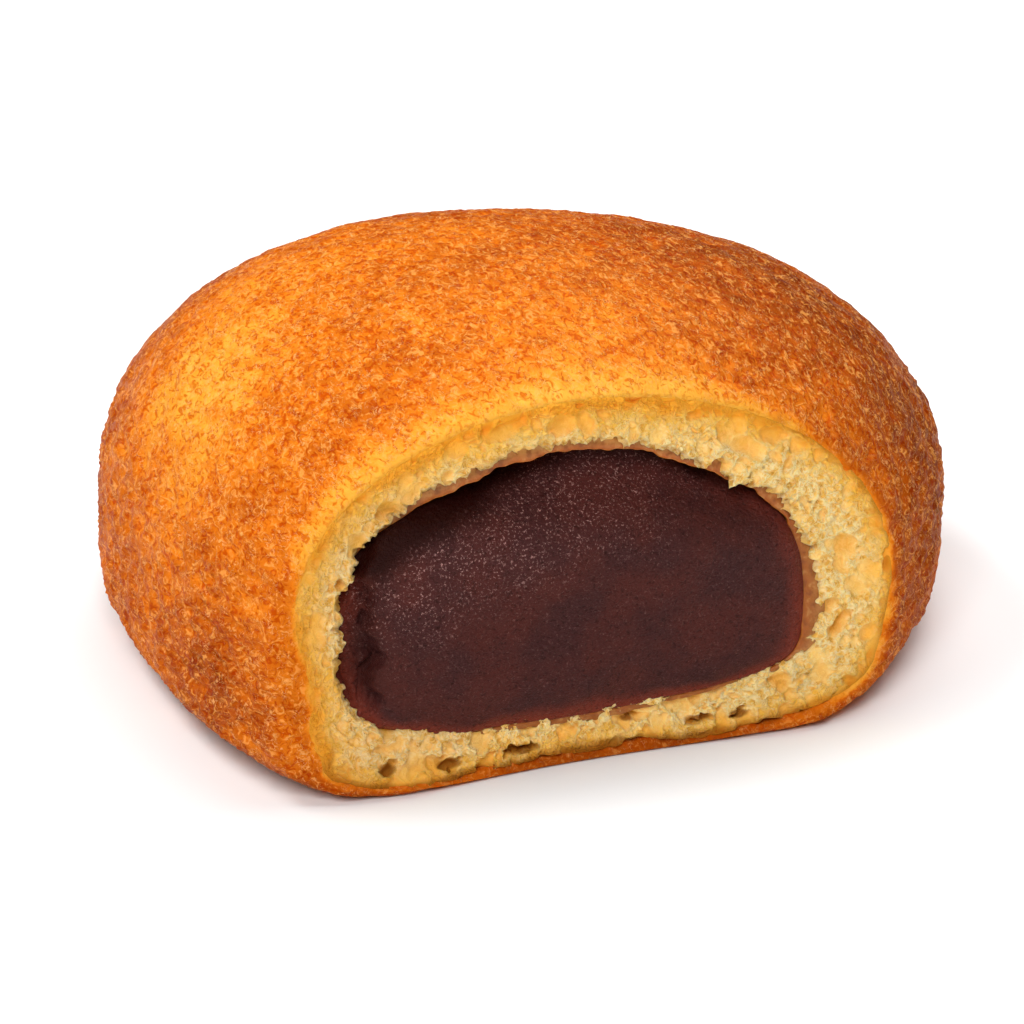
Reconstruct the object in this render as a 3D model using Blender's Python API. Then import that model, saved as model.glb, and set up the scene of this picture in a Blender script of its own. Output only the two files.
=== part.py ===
"""A bean paste doughnut, torn open at the front: a fried bun of dough round a lump of bean paste.

Metres, +Z up. The torn face looks along -Y. The origin is under the middle of the bun, on the
surface that it rests on. There are two solids: the dough, one piece from its fried crust to its
torn crumb, and the bean paste, which runs back through the pocket inside it.

Both start as a UV sphere whose poles lie along Y. Each ring of its points is carried to a station
along the piece's own outline: pocket, torn face and crust for the dough, front and hidden back for
the paste.
"""

import math
import random

import bmesh
import bpy
from mathutils import Vector, noise

# The whole bun. Its heart is the point at its widest level from which its crust is measured.
PLAN_RADIUS = 0.0419  # mean radius, seen from above
PLAN_OVAL = (-0.048, 0.013)  # cosine and sine shares of the plan's second harmonic
PLAN_LOBES = (0.055, 0.018)  # and of its third: proofed dough is never quite round
CROWN_HEIGHT = 0.0262  # from the widest level up to the top
BELLY_DEPTH = 0.0137  # from the widest level down, before the base is pressed flat
BASE_PRESS = 0.0008  # how much of it the base's flat foot takes off
BASE_SHIFT = -0.0007  # how far the foot sits to one side of the widest level
CROWN_ROUNDNESS = 2.12  # superellipse exponents: 2 is an ellipse, more is squarer
BASE_SQUARENESS = 5.5

# The torn face, a plane that leans back a little towards its top.
TEAR_FROM_HEART = 0.0281  # measured at TEAR_LEVEL
TEAR_LEVEL = 0.020
TEAR_LEAN = math.radians(3.7)
RIM_ROLL = 0.0014  # how softly the crust rolls over into the torn face
RIM_ROLL_LOW = 0.0010  # added at the two lower corners, which are rounder
LIP = 0.0010  # how far the base's crust stands forward of the tear, at the corners
LIP_HEIGHT = 0.0022
LIP_RUN = 0.0090  # how far back from the tear it starts
LIP_MIDDLE = -0.0020  # where along the tear it is gone, and how far off it is at its most
LIP_SPREAD = 0.0190

# The pocket's mouth in the torn face, and the pocket behind it.
MOUTH_CENTRE = (-0.0038, 0.0122)  # x and z
MOUTH_HALF_WIDTH = 0.0222
MOUTH_UP = 0.0168
MOUTH_DOWN = 0.0067
MOUTH_SQUARENESS = {"low": 4.5, "top left": 2.8, "top right": 2.1}
POCKET_DEPTH = 0.046
POCKET_MOUTH_ANGLE = math.radians(-29)  # where the tear crosses the rounded lump: 0 is its widest

# The bean paste.
PASTE_GAP = 0.00032  # clearance between the paste and the pocket's wall
PASTE_BULGE = 0.0012  # how far the middle of its front stands proud of its edge
PASTE_SETBACK = 0.0003  # how deep its front edge lies in the mouth, all round
PASTE_SETBACK_TOP = 0.0048  # added under the roof, where the lump curves away
PASTE_SETBACK_LEFT = 0.0022  # added at the left, where it tore off with a ledge

# Relief: size of the lumps, and how high they stand.
CRUST_DENTS = (0.012, 0.0003)
CRUMB_LUMPS = (0.0026, 0.00085)
PASTE_LUMPS = (0.0080, 0.00035)

# Open air cells in the torn crumb.
CELL_COUNT = 32
CELL_RADII = (0.0006, 0.0014)
CELL_SEED = 11
CELL_TRIES = 4000
CELL_WALL = 0.0005  # least crumb left between two cells
CELL_SIDES = 2  # subdivisions of each cell's icosphere

# Mesh density.
DOUGH_COLUMNS = 96
POCKET_ROWS = 9
FACE_ROWS = 9
CRUST_ROWS = 21
PASTE_COLUMNS = 64
PASTE_FRONT_ROWS = 10
PASTE_BACK_ROWS = 9
BISECTION_STEPS = 40

FINISHES = {  # colour, roughness
    "fried_crust": ((0.60, 0.21, 0.035), 0.50),
    "torn_crumb": ((0.83, 0.60, 0.24), 0.85),
    "bean_paste": ((0.055, 0.020, 0.022), 0.55),
}
HEART = Vector((0.0, 0.0, BELLY_DEPTH - BASE_PRESS))


def clear_scene():
    """Removes whatever the scene starts with."""
    for obj in list(bpy.data.objects):
        bpy.data.objects.remove(obj)


def finish(name):
    """The Principled material of that name."""
    colour, roughness = FINISHES[name]
    material = bpy.data.materials.new(name)
    material.use_nodes = True
    shader = material.node_tree.nodes["Principled BSDF"]
    shader.inputs["Base Color"].default_value = (*colour, 1)
    shader.inputs["Roughness"].default_value = roughness
    shader.inputs["Metallic"].default_value = 0
    return material


def lumps(point, relief, seed):
    """Signed height of smooth random lumps at a point, for a (size, height) pair."""
    size, height = relief
    return height * noise.noise(point / size + Vector((seed, 0, 0)))


# ---- the bun's outside -------------------------------------------------------------------------


def crust_reach(direction):
    """Distance from the heart to the whole bun's crust along a unit direction.

    The bun is two superellipsoid halves, a round crown and a squarer base, on an uneven plan.
    """
    azimuth = math.atan2(direction.y, direction.x)
    plan = PLAN_RADIUS * (
        1
        + PLAN_OVAL[0] * math.cos(2 * azimuth)
        + PLAN_OVAL[1] * math.sin(2 * azimuth)
        + PLAN_LOBES[0] * math.cos(3 * azimuth)
        + PLAN_LOBES[1] * math.sin(3 * azimuth)
    )
    up = direction.z > 0
    power = CROWN_ROUNDNESS if up else BASE_SQUARENESS
    height = CROWN_HEIGHT if up else BELLY_DEPTH
    across = math.hypot(direction.x, direction.y) / plan
    return (across**power + (abs(direction.z) / height) ** power) ** (-1 / power)


def tear_y(z):
    """Where the torn face is at a height."""
    return -TEAR_FROM_HEART + math.tan(TEAR_LEAN) * (z - TEAR_LEVEL)


def tear_reach(direction):
    """Distance from the heart to the torn face's plane along a unit direction, or None behind."""
    closing = -direction.y + math.tan(TEAR_LEAN) * direction.z
    return -tear_y(HEART.z) / closing if closing > 1e-6 else None


def rim_roll(direction):
    """How softly the crust rolls into the torn face: most at the two lower corners."""
    angle = math.atan2(direction.z, direction.x)
    corner = 2.6 * math.cos(angle) ** 2 * max(0.0, -math.sin(angle))  # 1 at its most
    return RIM_ROLL + RIM_ROLL_LOW * corner


def lip(point):
    """How far forward the base's crust is pulled into a lip at a point near the tear."""
    near = max(0.0, 1 - (point.y - tear_y(point.z)) / LIP_RUN)
    along = min(1.0, ((point.x - LIP_MIDDLE) / LIP_SPREAD) ** 2)
    return LIP * near * along * math.exp(-((point.z / LIP_HEIGHT) ** 2))


def outside_point(direction):
    """The point of the torn bun's outside in a unit direction from the heart.

    It is the smooth minimum of the reach to the crust and the reach to the torn face, so the rim
    between them is rolled. What would lie below the floor is pressed flat on to it.
    """
    reach = crust_reach(direction)
    tear = tear_reach(direction)
    if tear is not None:
        roll = rim_roll(direction)
        share = min(1.0, max(0.0, 0.5 + 0.5 * (tear - reach) / roll))
        reach = tear * (1 - share) + reach * share - roll * share * (1 - share)
    point = HEART + reach * direction
    point.x += BASE_SHIFT * min(1.0, max(0.0, 1 - point.z / HEART.z))
    point.z = max(0.0, point.z)
    point.y -= lip(point)
    return point


def rim_direction(angle):
    """Unit direction from the heart to the rim, at an angle round the Y axis, found by halving."""
    near, far = 0.0, math.pi / 2
    for _ in range(BISECTION_STEPS):
        middle = (near + far) / 2
        direction = swing(angle, middle)
        tear = tear_reach(direction)
        if tear is not None and tear < crust_reach(direction):
            near = middle
        else:
            far = middle
    return swing(angle, near)


def swing(angle, from_front):
    """Unit direction at an angle round the Y axis, and an angle away from the front, -Y."""
    ring = math.sin(from_front)
    return Vector((ring * math.cos(angle), -math.cos(from_front), ring * math.sin(angle)))


# ---- the pocket --------------------------------------------------------------------------------


def mouth_reach(angle, gap):
    """Distance from the mouth's centre to its outline, less a gap: a superellipse whose power
    changes between its low edge and its two shoulders."""
    across, up = math.cos(angle), math.sin(angle)
    if up < 0:
        power, height = MOUTH_SQUARENESS["low"], MOUTH_DOWN
    else:
        side = "top left" if across < 0 else "top right"
        power, height = MOUTH_SQUARENESS[side], MOUTH_UP
    width = abs(across) / (MOUTH_HALF_WIDTH - gap)
    return (width**power + (abs(up) / (height - gap)) ** power) ** (-1 / power)


def pocket_point(angle, depth, gap=0.0):
    """A point of the pocket's wall: the mouth's outline, which swells behind the mouth and closes
    at the pocket's end, as the lump that was torn across does."""
    start = math.sin(POCKET_MOUTH_ANGLE)
    turn = math.asin(min(1.0, start + (1 - start) * depth / (POCKET_DEPTH - gap)))
    reach = mouth_reach(angle, gap) * math.cos(turn) / math.cos(POCKET_MOUTH_ANGLE)
    x = MOUTH_CENTRE[0] + reach * math.cos(angle)
    z = MOUTH_CENTRE[1] + reach * math.sin(angle)
    lean = 1 - depth / POCKET_DEPTH  # the torn face's lean fades out towards the pocket's end
    return Vector((x, tear_y(z * lean + TEAR_LEVEL * (1 - lean)) + depth, z))


def pocket_depth(share, gap=0.0):
    """Depth at a share of the way round the pocket's outline, from its mouth to its end."""
    turn = POCKET_MOUTH_ANGLE + share * (math.pi / 2 - POCKET_MOUTH_ANGLE)
    start = math.sin(POCKET_MOUTH_ANGLE)
    return (POCKET_DEPTH - gap) * (math.sin(turn) - start) / (1 - start)


# ---- dough -------------------------------------------------------------------------------------


def torn_point(angle, share):
    """A point of the torn crumb, from the mouth (share 0) to the rim (share 1)."""
    mouth = pocket_point(angle, 0.0)
    rim = outside_point(rim_direction(angle))
    flat = mouth.lerp(rim, share)
    rolled = outside_point((flat - HEART).normalized())
    point = flat.lerp(rolled, share)
    rise = lumps(point, CRUMB_LUMPS, 3) * math.sin(math.pi * (0.15 + 0.7 * share))
    point.y += rise
    return point


def crust_point(angle, share):
    """A point of the crust, from the rim (share 0) to the back of the bun (share 1)."""
    start = math.acos(-rim_direction(angle).y)
    direction = swing(angle, start + share * (math.pi - start))
    point = outside_point(direction)
    if point.z > 0:
        point += direction * lumps(point, CRUST_DENTS, 7) * min(1.0, point.z / CRUST_DENTS[0])
        point.z = max(0.0, point.z)
    return point


def dough_point(angle, row):
    """Where the dough's point at an angle and row goes, from the pocket's end to the back."""
    if row < POCKET_ROWS:
        return pocket_point(angle, pocket_depth(1 - row / POCKET_ROWS))
    row -= POCKET_ROWS
    if row < FACE_ROWS:
        return torn_point(angle, row / FACE_ROWS)
    return crust_point(angle, (row - FACE_ROWS) / CRUST_ROWS)


# ---- bean paste --------------------------------------------------------------------------------


def paste_setback(angle):
    """How deep the front edge of the paste lies in the mouth, at an angle round it."""
    top = max(0.0, math.sin(angle)) ** 2
    left = max(0.0, -math.cos(angle)) ** 4
    return PASTE_SETBACK + PASTE_SETBACK_TOP * top + PASTE_SETBACK_LEFT * left


def paste_front(angle, share):
    """A point of the paste's front, from its middle (share 0) to its edge (share 1)."""
    setback = paste_setback(angle)
    edge = pocket_point(angle, setback, PASTE_GAP)
    middle = Vector((MOUTH_CENTRE[0], 0.0, MOUTH_CENTRE[1]))
    point = middle.lerp(edge, share)
    proud = PASTE_BULGE * (1 - share**2)
    point.y = tear_y(point.z) + setback * share**5 - proud
    point.y += lumps(point, PASTE_LUMPS, 5) * (1 - share**6)
    return point


def paste_point(angle, row):
    """Where the paste's point at an angle and row goes, from its front's middle to its end."""
    if row < PASTE_FRONT_ROWS:
        return paste_front(angle, row / PASTE_FRONT_ROWS)
    share = (row - PASTE_FRONT_ROWS) / PASTE_BACK_ROWS
    front = paste_setback(angle)
    depth = max(front * (1 - share), pocket_depth(share, PASTE_GAP))
    return pocket_point(angle, depth, PASTE_GAP)


# ---- objects -----------------------------------------------------------------------------------


def shaped_ball(name, columns, rows, place, collection, seam_row=0):
    """A UV sphere whose every point is carried to place(angle, row), as a smooth object.

    Its faces before the seam row take the second of its materials.
    """
    mesh = bpy.data.meshes.new(name)
    ball = bmesh.new()
    bmesh.ops.create_uvsphere(ball, u_segments=columns, v_segments=rows, radius=1.0)
    row_of = {
        vert: round(math.acos(max(-1.0, min(1.0, vert.co.z))) * rows / math.pi)
        for vert in ball.verts
    }
    for face in ball.faces:
        face.material_index = 1 if max(row_of[vert] for vert in face.verts) <= seam_row else 0
    for vert, row in row_of.items():
        vert.co = place(math.atan2(vert.co.y, vert.co.x), row)
    ball.to_mesh(mesh)
    ball.free()
    mesh.shade_smooth()
    obj = bpy.data.objects.new(name, mesh)
    collection.objects.link(obj)
    return obj


def make_dough(collection, crust, crumb):
    """The bun with its crust, torn face and empty pocket, crust and crumb in their own finishes."""
    seam = POCKET_ROWS + FACE_ROWS
    dough = shaped_ball(
        "dough", DOUGH_COLUMNS, seam + CRUST_ROWS, dough_point, collection, seam_row=seam
    )
    dough.data.materials.append(crust)
    dough.data.materials.append(crumb)
    return dough


def cell_places():
    """Centres and radii of the open air cells: spread by a seeded draw over the torn crumb, each
    kept clear of its neighbours, the mouth and the rim."""
    draw = random.Random(CELL_SEED)
    placed = []
    for _ in range(CELL_TRIES):
        angle = draw.uniform(-math.pi, math.pi)
        share = draw.uniform(0.2, 0.8)
        radius = CELL_RADII[0] + (CELL_RADII[1] - CELL_RADII[0]) * draw.random() ** 2
        centre = torn_point(angle, share)
        band = (torn_point(angle, 1.0) - torn_point(angle, 0.0)).length
        room = min(share, 1 - share) * band
        crowded = any(
            (centre - other).length < radius + size + CELL_WALL for other, size in placed
        )
        if room > radius + CELL_WALL and not crowded:
            placed.append((centre, radius))
        if len(placed) == CELL_COUNT:
            break
    return placed


def make_cells(collection, crust, crumb):
    """One icosphere for each air cell, in the crumb's finish: cutters, not parts."""
    cells = []
    for number, (centre, radius) in enumerate(cell_places()):
        mesh = bpy.data.meshes.new(f"cell_{number}")
        cell = bmesh.new()
        bmesh.ops.create_icosphere(cell, subdivisions=CELL_SIDES, radius=radius)
        bmesh.ops.translate(cell, verts=cell.verts, vec=centre)
        for face in cell.faces:
            face.material_index = 1
        cell.to_mesh(mesh)
        cell.free()
        mesh.materials.append(crust)
        mesh.materials.append(crumb)
        obj = bpy.data.objects.new(mesh.name, mesh)
        obj.hide_render = True
        obj.display_type = "WIRE"
        collection.objects.link(obj)
        cells.append(obj)
    return cells


def make_paste(collection, paste):
    """The lump of bean paste in the pocket."""
    rows = PASTE_FRONT_ROWS + PASTE_BACK_ROWS
    lump = shaped_ball("bean_paste", PASTE_COLUMNS, rows, paste_point, collection)
    lump.data.materials.append(paste)
    return lump


def base_centre(obj):
    """The point under the middle of an object's box, on the floor."""
    corners = [Vector(corner) for corner in obj.bound_box]
    low = Vector(min(c[axis] for c in corners) for axis in range(3))
    high = Vector(max(c[axis] for c in corners) for axis in range(3))
    return Vector(((low.x + high.x) / 2, (low.y + high.y) / 2, low.z))


def main():
    """Builds the doughnut and stands it on the origin."""
    clear_scene()
    parts = bpy.data.collections.new("bean_paste_doughnut")
    cutters = bpy.data.collections.new("air_cells")
    for collection in (parts, cutters):
        bpy.context.scene.collection.children.link(collection)

    crust, crumb = finish("fried_crust"), finish("torn_crumb")
    dough = make_dough(parts, crust, crumb)
    cells = make_cells(cutters, crust, crumb)
    paste = make_paste(parts, finish("bean_paste"))

    holes = dough.modifiers.new("air_cells", "BOOLEAN")
    holes.operation = "DIFFERENCE"
    holes.operand_type = "COLLECTION"
    holes.collection = cutters
    holes.solver = "EXACT"

    stand = bpy.data.objects.new("stand", None)
    parts.objects.link(stand)
    stand.location = -base_centre(dough)
    for obj in (dough, paste, *cells):
        obj.parent = stand


main()
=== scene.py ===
"""A bean paste doughnut, torn open at the front: fried crust, torn crumb, soaked skin and paste.

Shapes are worked out in millimetres in the bun's own coordinates: x and y from the bun's heart, z up
from the surface that it rests on, the torn face towards -y. They are carried to the frame's metres
only when a mesh is made.
"""

import itertools
import logging
import math
from dataclasses import dataclass, field
from functools import cached_property

import bpy
import numpy as np
from mathutils import Matrix, Vector


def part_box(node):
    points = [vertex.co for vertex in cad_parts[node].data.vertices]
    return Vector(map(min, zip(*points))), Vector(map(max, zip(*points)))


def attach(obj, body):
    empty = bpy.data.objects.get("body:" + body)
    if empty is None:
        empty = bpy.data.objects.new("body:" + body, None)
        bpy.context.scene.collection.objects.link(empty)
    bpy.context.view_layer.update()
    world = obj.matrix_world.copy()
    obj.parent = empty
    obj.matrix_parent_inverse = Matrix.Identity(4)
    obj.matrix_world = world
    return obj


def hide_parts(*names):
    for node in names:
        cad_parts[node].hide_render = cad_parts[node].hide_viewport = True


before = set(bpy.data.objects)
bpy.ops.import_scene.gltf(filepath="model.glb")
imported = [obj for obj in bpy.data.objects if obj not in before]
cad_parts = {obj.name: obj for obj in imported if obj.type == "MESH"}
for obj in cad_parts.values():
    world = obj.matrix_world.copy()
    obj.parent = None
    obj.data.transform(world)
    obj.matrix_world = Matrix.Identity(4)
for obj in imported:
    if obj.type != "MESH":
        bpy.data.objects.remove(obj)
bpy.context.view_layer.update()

LOG = logging.getLogger("bean_paste_doughnut")
MM = 0.001
FLOAT = np.float32

# The lumps' noise: how many slopes it draws, the primes that mix a corner's place into one number,
# and the strength that brings its height to about 1.
SLOPES = 1024
LATTICE_MIX = (73856093, 19349663, 83492791)
LUMP_STRENGTH = 1.6

# What makes a change of range in a finish a soft one.
SOFT = {"interpolation_type": "SMOOTHSTEP"}


# ---- numbers and curves ------------------------------------------------------------------------


def smooth_step(value: np.ndarray, low: float, high: float) -> np.ndarray:
    """Rises softly from 0 at low to 1 at high: 3 t squared less 2 t cubed.

    Args:
        value: Any array.
        low: Where the rise starts.
        high: Where it ends; may be less than low, for a fall.

    Returns:
        The array's shares, from 0 to 1.
    """
    t = np.clip((value - low) / (high - low), 0, 1)
    return t * t * (3 - 2 * t)


def smooth_min(first: np.ndarray, second: np.ndarray, width: float) -> np.ndarray:
    """The lesser of two fields, rounded where they come within a width of each other.

    Args:
        first: One field.
        second: The other.
        width: How wide the rounding is; it takes off at most a quarter of it.

    Returns:
        The rounded minimum.
    """
    share = np.clip(0.5 + 0.5 * (second - first) / width, 0, 1)
    return second * (1 - share) + first * share - width * share * (1 - share)


def spot(points: np.ndarray, centre: tuple[float, ...], radius: float) -> np.ndarray:
    """A soft round spot: e to the minus squared distance over radius squared.

    Args:
        points: Places, with the coordinates on the last axis.
        centre: The spot's middle.
        radius: Where it has fallen to about a third.

    Returns:
        Its strength, from 0 to 1, at each place.
    """
    away = ((points - np.asarray(centre)) ** 2).sum(-1)
    return np.exp(-away / radius**2)


@dataclass(frozen=True)
class Lumps:
    """Smooth random lumps: gradient noise on a lattice, the same in every run.

    Each lattice corner has a random slope. A point blends the eight slopes round it by the quintic
    6 t^5 - 15 t^4 + 10 t^3.
    """

    seed: int

    def at(self, points: np.ndarray, size: float) -> np.ndarray:
        """Signed height of the lumps, about -1 to 1.

        Args:
            points: Places in millimetres, with the coordinates on the last axis.
            size: Spacing of the lattice, in millimetres.

        Returns:
            One height for each place.
        """
        draw = np.random.default_rng(self.seed)
        slopes = draw.normal(size=(SLOPES, 3))
        slopes = (slopes / np.linalg.norm(slopes, axis=1, keepdims=True)).astype(FLOAT)
        place = (points / size + draw.uniform(20, 90, 3)).astype(FLOAT)
        cell = np.floor(place).astype(np.int32)
        part = place - cell
        fade = part * part * part * (part * (part * 6 - 15) + 10)
        total = np.zeros(points.shape[:-1], FLOAT)
        for corner in itertools.product((0, 1), repeat=3):
            at = cell + np.array(corner, np.int32)
            along, across, up = (at[..., axis] * LATTICE_MIX[axis] for axis in range(3))
            mixed = along ^ across ^ up
            slope = slopes[(mixed ^ (mixed >> 13)) & (SLOPES - 1)]
            rise = ((part - np.array(corner, FLOAT)) * slope).sum(-1)
            total += rise * np.where(corner, fade, 1 - fade).prod(-1)
        return total * LUMP_STRENGTH

    def folds(self, points: np.ndarray, size: float) -> np.ndarray:
        """Rounded humps parted by narrow creases: the size of the noise, 0 in a crease."""
        return np.abs(self.at(points, size))


@dataclass(frozen=True)
class Outline:
    """A closed outline about a centre in the torn face, through a few points.

    Between two points the distance from the centre is a cubic in the angle, whose slope at each
    point is that between its neighbours, so the outline is smooth all round.
    """

    centre: tuple[float, float]
    points: tuple[tuple[float, float], ...]

    def reach(self, angle: np.ndarray) -> np.ndarray:
        """Distance from the centre to the outline.

        Args:
            angle: Angles round the centre in radians, 0 along +x and a quarter turn up.

        Returns:
            The distances in millimetres.
        """
        offset = np.asarray(self.points) - self.centre
        turn = np.arctan2(offset[:, 1], offset[:, 0])
        order = np.argsort(turn)
        turn, far = turn[order], np.hypot(*offset[order].T)
        turn = np.concatenate([turn[-2:] - math.tau, turn, turn[:2] + math.tau])
        far = np.concatenate([far[-2:], far, far[:2]])
        slope = np.gradient(far, turn)
        asked = (np.asarray(angle) + math.pi) % math.tau - math.pi
        after = np.clip(np.searchsorted(turn, asked), 1, len(turn) - 1)
        gap = turn[after] - turn[after - 1]
        t = (asked - turn[after - 1]) / gap
        start, end = far[after - 1], far[after]
        bend_in, bend_out = slope[after - 1] * gap, slope[after] * gap
        return (
            (2 * t**3 - 3 * t**2 + 1) * start
            + (t**3 - 2 * t**2 + t) * bend_in
            + (3 * t**2 - 2 * t**3) * end
            + (t**3 - t**2) * bend_out
        )


# ---- the bun's form ----------------------------------------------------------------------------


@dataclass(frozen=True)
class Bun:
    """The bun's form in millimetres: its solid's, but for the lap and a lip that stands out further.

    Two superellipsoid halves, a round crown and a squarer base, stand on an uneven plan and are cut
    by the plane of the tear. Its heart is the point at its widest level above the plan's centre. The
    lip is the foot of the tear, which stands out most at its two ends. The lap is browned crust down
    the left side of the torn face; it comes in from the right, the foot and the top, over the runs
    from the first to the second number of its three limits.
    """

    plan_radius: float = 41.9
    oval: tuple[float, float] = (-0.048, 0.013)
    lobes: tuple[float, float] = (0.055, 0.018)
    crown_height: float = 26.2
    belly_depth: float = 13.7
    base_press: float = 0.8
    base_shift: float = -0.7
    crown_roundness: float = 2.12
    base_squareness: float = 5.5
    tear_from_heart: float = 28.1
    tear_level: float = 20.0
    tear_lean: float = math.radians(3.7)
    rim_roll: float = 1.4
    rim_roll_low: float = 1.0
    corner_roll: float = 2.6
    lip: float = 2.0
    lip_height: float = 2.2
    lip_run: float = 9.0
    lip_middle: float = -2.0
    lip_spread: float = 19.0
    lap_width: float = 2.8
    lap_across: tuple[float, float] = (-10.0, -20.0)
    lap_foot: tuple[float, float] = (1.0, 4.0)
    lap_top: tuple[float, float] = (26.0, 8.0)
    heart_from_left: float = 37.85
    heart_from_back: float = 43.68
    halvings: int = 30

    @property
    def heart(self) -> np.ndarray:
        """The heart, which everything is measured from."""
        return np.array([0.0, 0.0, self.belly_depth - self.base_press])

    def to_frame(self, points: np.ndarray) -> np.ndarray:
        """Carries points into the frame: the heart's place follows from the dough's own box.

        Args:
            points: Points in the bun's millimetres.

        Returns:
            The points in metres.
        """
        low, high = (np.array(corner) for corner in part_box("dough"))
        x = low[0] + self.heart_from_left * MM
        y = high[1] - self.heart_from_back * MM
        return points * MM + np.array([x, y, 0.0])

    def swing(self, angle: np.ndarray, from_front: np.ndarray) -> np.ndarray:
        """Turns angles into directions from the heart.

        Args:
            angle: Angles round the y axis, 0 along +x and a quarter turn up.
            from_front: Angles away from -y.

        Returns:
            The unit directions, with the coordinates on the last axis.
        """
        angle, from_front = np.broadcast_arrays(angle, from_front)
        ring = np.sin(from_front)
        return np.stack([ring * np.cos(angle), -np.cos(from_front), ring * np.sin(angle)], -1)

    def crust_reach(self, direction: np.ndarray) -> np.ndarray:
        """Distance from the heart to the whole bun's crust.

        One over the p-th root of (across / plan radius)^p + (up / height)^p, where the plan's
        radius has a second and a third harmonic.

        Args:
            direction: Unit directions, with the coordinates on the last axis.

        Returns:
            The distances in millimetres.
        """
        x, y, z = np.moveaxis(direction, -1, 0)
        turn = np.arctan2(y, x)
        plan = self.plan_radius * (
            1
            + self.oval[0] * np.cos(2 * turn)
            + self.oval[1] * np.sin(2 * turn)
            + self.lobes[0] * np.cos(3 * turn)
            + self.lobes[1] * np.sin(3 * turn)
        )
        power = np.where(z > 0, self.crown_roundness, self.base_squareness)
        height = np.where(z > 0, self.crown_height, self.belly_depth)
        return ((np.hypot(x, y) / plan) ** power + (np.abs(z) / height) ** power) ** (-1 / power)

    def tear_y(self, z: np.ndarray) -> np.ndarray:
        """Where the plane of the tear is at a height."""
        return -self.tear_from_heart + math.tan(self.tear_lean) * (z - self.tear_level)

    def tear_reach(self, direction: np.ndarray) -> np.ndarray:
        """Distance from the heart to the plane of the tear, very large where it is behind."""
        closing = -direction[..., 1] + math.tan(self.tear_lean) * direction[..., 2]
        return -self.tear_y(self.heart[2]) / np.maximum(closing, 1e-4)

    def roll(self, direction: np.ndarray) -> np.ndarray:
        """How softly the crust rolls into the torn face: most at the two lower corners.

        Args:
            direction: Unit directions from the heart.

        Returns:
            The rounding's width in millimetres, more by the squared cosine and the falling sine.
        """
        angle = np.arctan2(direction[..., 2], direction[..., 0])
        corner = self.corner_roll * np.cos(angle) ** 2 * np.maximum(0, -np.sin(angle))
        return self.rim_roll + self.rim_roll_low * corner

    def outside(self, direction: np.ndarray) -> np.ndarray:
        """Points of the torn bun's outside: crust, rolled rim or torn plane, pressed on the floor.

        Args:
            direction: Unit directions from the heart.

        Returns:
            The points in millimetres.
        """
        crust, tear = self.crust_reach(direction), self.tear_reach(direction)
        reach = smooth_min(crust, tear, self.roll(direction))
        point = self.heart + reach[..., None] * direction
        low = np.clip(1 - point[..., 2] / self.heart[2], 0, 1)
        point[..., 0] += self.base_shift * low
        point[..., 2] = np.maximum(0, point[..., 2])
        near = np.maximum(0, 1 - (point[..., 1] - self.tear_y(point[..., 2])) / self.lip_run)
        along = np.minimum(1, ((point[..., 0] - self.lip_middle) / self.lip_spread) ** 2)
        point[..., 1] -= self.lip * near * along * np.exp(-((point[..., 2] / self.lip_height) ** 2))
        return point

    def lap(self, x: np.ndarray, z: np.ndarray) -> np.ndarray:
        """How far the browned crust laps over the torn face, down its left side."""
        left = smooth_step(x, *self.lap_across) * smooth_step(z, *self.lap_foot)
        return self.lap_width * left * smooth_step(z, *self.lap_top)

    def rolled(self, flat: np.ndarray) -> np.ndarray:
        """Points of the plane of the tear carried onto the rolled outside, along their rays."""
        away = flat - self.heart
        return self.outside(away / np.linalg.norm(away, axis=-1, keepdims=True))

    def rim(self, angle: np.ndarray) -> np.ndarray:
        """Finds the rim, where the crust and the torn plane are equally far, by halving.

        Args:
            angle: Angles round the y axis.

        Returns:
            The angle away from -y at which the rim is, for each of them.
        """
        near, far = np.zeros_like(angle), np.full_like(angle, math.pi / 2)
        for _ in range(self.halvings):
            middle = (near + far) / 2
            direction = self.swing(angle, middle)
            torn = self.tear_reach(direction) < self.crust_reach(direction)
            near, far = np.where(torn, middle, near), np.where(torn, far, middle)
        return near


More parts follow.
